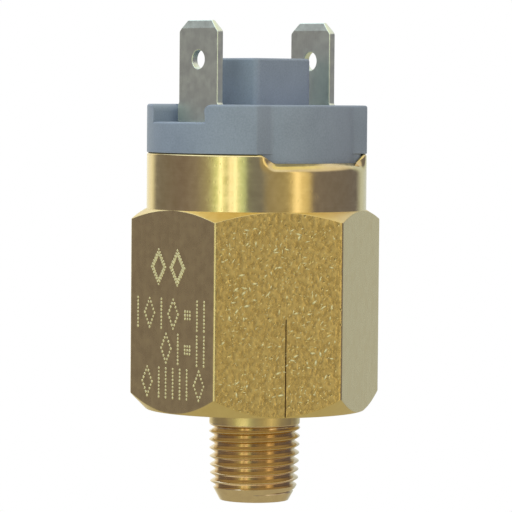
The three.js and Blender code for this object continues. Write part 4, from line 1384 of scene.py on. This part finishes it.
def burrs_tree():
    inputs = [
        ("Width", "NodeSocketFloat", BURR_SPAN[0] * MM),
        ("Height", "NodeSocketFloat", BURR_SPAN[1] * MM),
        ("Burrs per square metre", "NodeSocketFloat", 3.4e6),
        ("Longest", "NodeSocketFloat", 0.00078),
        ("Thickness", "NodeSocketFloat", 0.000035),
        ("Seed", "NodeSocketInt", 11),
        ("Material", "NodeSocketMaterial", None),
    ]
    tree, given, result = geometry_group("Burrs", inputs)
    width, height, density, longest, thickness, seed, material = given.outputs[:7]
    grid = put(tree, "GeometryNodeMeshGrid", {0: width, 1: height, 2: 2, 3: 2})
    points = put(tree, "GeometryNodeDistributePointsOnFaces", {
        "Mesh": grid.outputs[0], "Density": density, "Seed": seed,
    })
    disc = put(
        tree, "GeometryNodeMeshCircle", {"Vertices": 6, "Radius": 0.5}, fill_type="TRIANGLE_FAN"
    )
    peak = calc(tree, "LESS_THAN", from_middle(tree), 0.1)
    front, back = pushed(tree, disc, peak), pushed(tree, disc, calc(tree, "MULTIPLY", peak, -1.0))
    sliver = closed_shell(tree, front, back, 1e-4)
    # Burrs point from -1.9 to 0.3 radians. Most are short, and a few are long.
    spin = calc(tree, "MULTIPLY_ADD", chance(tree, seed), 2.2, -1.9)
    luck = chance(tree, calc(tree, "ADD", seed, 5))
    share = calc(tree, "MULTIPLY_ADD", calc(tree, "POWER", luck, 4.0), 0.82, 0.18)
    length = calc(tree, "MULTIPLY", share, longest)
    thin = chance(tree, calc(tree, "ADD", seed, 9))
    narrow = calc(tree, "MULTIPLY", length, calc(tree, "MULTIPLY_ADD", thin, 0.30, 0.12))
    size = put(tree, "ShaderNodeCombineXYZ", {0: narrow, 1: length, 2: thickness}).outputs[0]
    burrs = put(tree, "GeometryNodeInstanceOnPoints", {
        "Points": points.outputs[0], "Instance": sliver.outputs[0],
        "Rotation": along_z(tree, spin), "Scale": size,
    })
    joined = put(tree, "GeometryNodeJoinGeometry")
    centre = (APOTHEM - BURR_SINK) * MM
    middle = ((HEX_BOTTOM + HEX_TOP) / 2 - BURR_DROP) * MM
    for flat_degrees in GRIPPED_FLATS:
        angle = math.radians(flat_degrees)
        flat = put(tree, "GeometryNodeTransform", {
            "Geometry": burrs.outputs[0],
            "Rotation": (math.pi / 2, 0, angle + math.pi / 2),
            "Translation": (centre * math.cos(angle), centre * math.sin(angle), middle),
        })
        tree.links.new(flat.outputs[0], joined.inputs[0])
    return dress(tree, joined, material, result)


# Painted glint: the near-white, low-metallic colour is partly the fresh raised metal and partly the
# light that each burr catches.
BURR_GLINT_BRASS = brass(
    "burr brass with painted glint", (1.00, 0.95, 0.62, 1), (1.00, 0.86, 0.44, 1), 0.30,
    lines_per_mm=(5, 5, 5), lines_um=3.0, clouds_um=4.0, patch=0.2, nicks_um=2.0, metallic=0.3,
)
burrs = from_tree("flat_burrs", burrs_tree(), Material=BURR_GLINT_BRASS)
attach(burrs, "housing")
print("burrs:", len(burrs.data.polygons), "faces")

# %% [markdown]
# ## Stage and light
#
# Brass shows what stands round it. The studio is a world that the camera sees as plain
# white, and that the metal sees as tall soft panels with dark gaps, brighter overhead. The
# panels are a colour ramp over the compass, measured from the camera's direction.

# %% World
PANELS = [
    # degrees to the right of the camera, brightness, tint
    (-180, 0.95, (1.08, 1.08, 0.95)),
    (-142, 0.92, (1.08, 1.08, 0.90)),
    (-130, 0.24, (1.00, 1.00, 1.10)),
    (-84, 0.23, (1.02, 0.92, 1.08)),
    (-66, 0.28, (1.02, 0.95, 1.05)),
    (-52, 0.42, (1.00, 1.00, 0.85)),
    (-46, 0.66, (0.95, 1.05, 0.75)),
    (-41, 0.86, (0.92, 1.15, 0.65)),
    (-37, 2.40, (1.00, 1.00, 0.92)),
    (-35, 1.05, (0.95, 1.08, 0.70)),
    (-30, 0.58, (1.00, 1.05, 0.70)),
    (-27, 2.00, (1.00, 1.00, 0.92)),
    (-25, 0.72, (1.00, 1.02, 0.75)),
    (-22, 2.40, (1.00, 1.00, 0.92)),
    (-20, 0.95, (0.92, 1.12, 0.80)),
    (-12, 0.72, (0.88, 1.15, 0.85)),
    (-9, 0.24, (0.94, 1.05, 1.30)),
    (6, 0.24, (0.94, 1.02, 1.30)),
    (12, 0.36, (1.04, 0.97, 0.82)),
    (34, 0.42, (1.06, 0.97, 0.66)),
    (38, 0.80, (1.05, 0.94, 0.60)),
    (43, 1.50, (1.05, 0.95, 0.72)),
    (48, 0.95, (1.05, 0.94, 0.62)),
    (56, 0.70, (1.05, 0.93, 0.58)),
    (62, 0.22, (1.03, 0.98, 1.25)),
    (128, 0.19, (1.00, 1.00, 1.35)),
    (142, 0.64, (0.98, 1.12, 1.12)),
    (164, 0.66, (0.98, 1.08, 1.08)),
    (180, 0.95, (1.08, 1.08, 0.95)),
]


def studio_world():
    world = bpy.data.worlds.new("studio")
    bpy.context.scene.world = world
    world.use_nodes = True
    tree = world.node_tree
    tree.nodes.clear()
    way = put(tree, "ShaderNodeTexCoord").outputs["Generated"]
    to_right = put(tree, "ShaderNodeVectorMath", {0: way, 1: level_right}, operation="DOT_PRODUCT")
    to_front = put(tree, "ShaderNodeVectorMath", {0: way, 1: to_camera}, operation="DOT_PRODUCT")
    compass = calc(tree, "ARCTAN2", to_right.outputs["Value"], to_front.outputs["Value"])
    share = calc(tree, "MULTIPLY_ADD", compass, 0.5 / math.pi, 0.5)
    ramp = put(tree, "ShaderNodeValToRGB", {0: share})
    stops = ramp.color_ramp.elements
    while len(stops) < len(PANELS):
        stops.new(0.5)
    for stop, (degrees, brightness, tint) in zip(stops, PANELS):
        stop.position = (degrees + 180) / 360
        stop.color = [brightness * t for t in tint] + [1]
    # Height is the Z of the direction: 1 straight up, 0 level, -1 straight down.
    height = put(tree, "ShaderNodeSeparateXYZ", {0: way}).outputs[2]
    overhead = between(tree, height, 0.35, 0.62)
    rightness = between(tree, to_right.outputs["Value"], -0.7, 0.7)
    sky = blend_colours(tree, rightness, (1.35, 1.60, 1.95, 1), (0.84, 0.82, 0.82, 1))
    lit = blend_colours(tree, overhead, ramp.outputs[0], sky)
    zenith = between(tree, height, 0.72, 0.88)
    lit = blend_colours(tree, zenith, lit, (0.96, 0.95, 0.66, 1))
    below = between(tree, height, -0.12, -0.5)
    lit = blend_colours(tree, below, lit, (0.52, 0.50, 0.36, 1))
    seen = put(tree, "ShaderNodeLightPath").outputs["Is Camera Ray"]
    colour = blend_colours(tree, seen, lit, (1, 1, 1, 1))
    background = put(tree, "ShaderNodeBackground", {"Color": colour, "Strength": 1.0})
    put(tree, "ShaderNodeOutputWorld", {0: background.outputs[0]})


studio_world()
bpy.context.scene.view_settings.view_transform = "Standard"
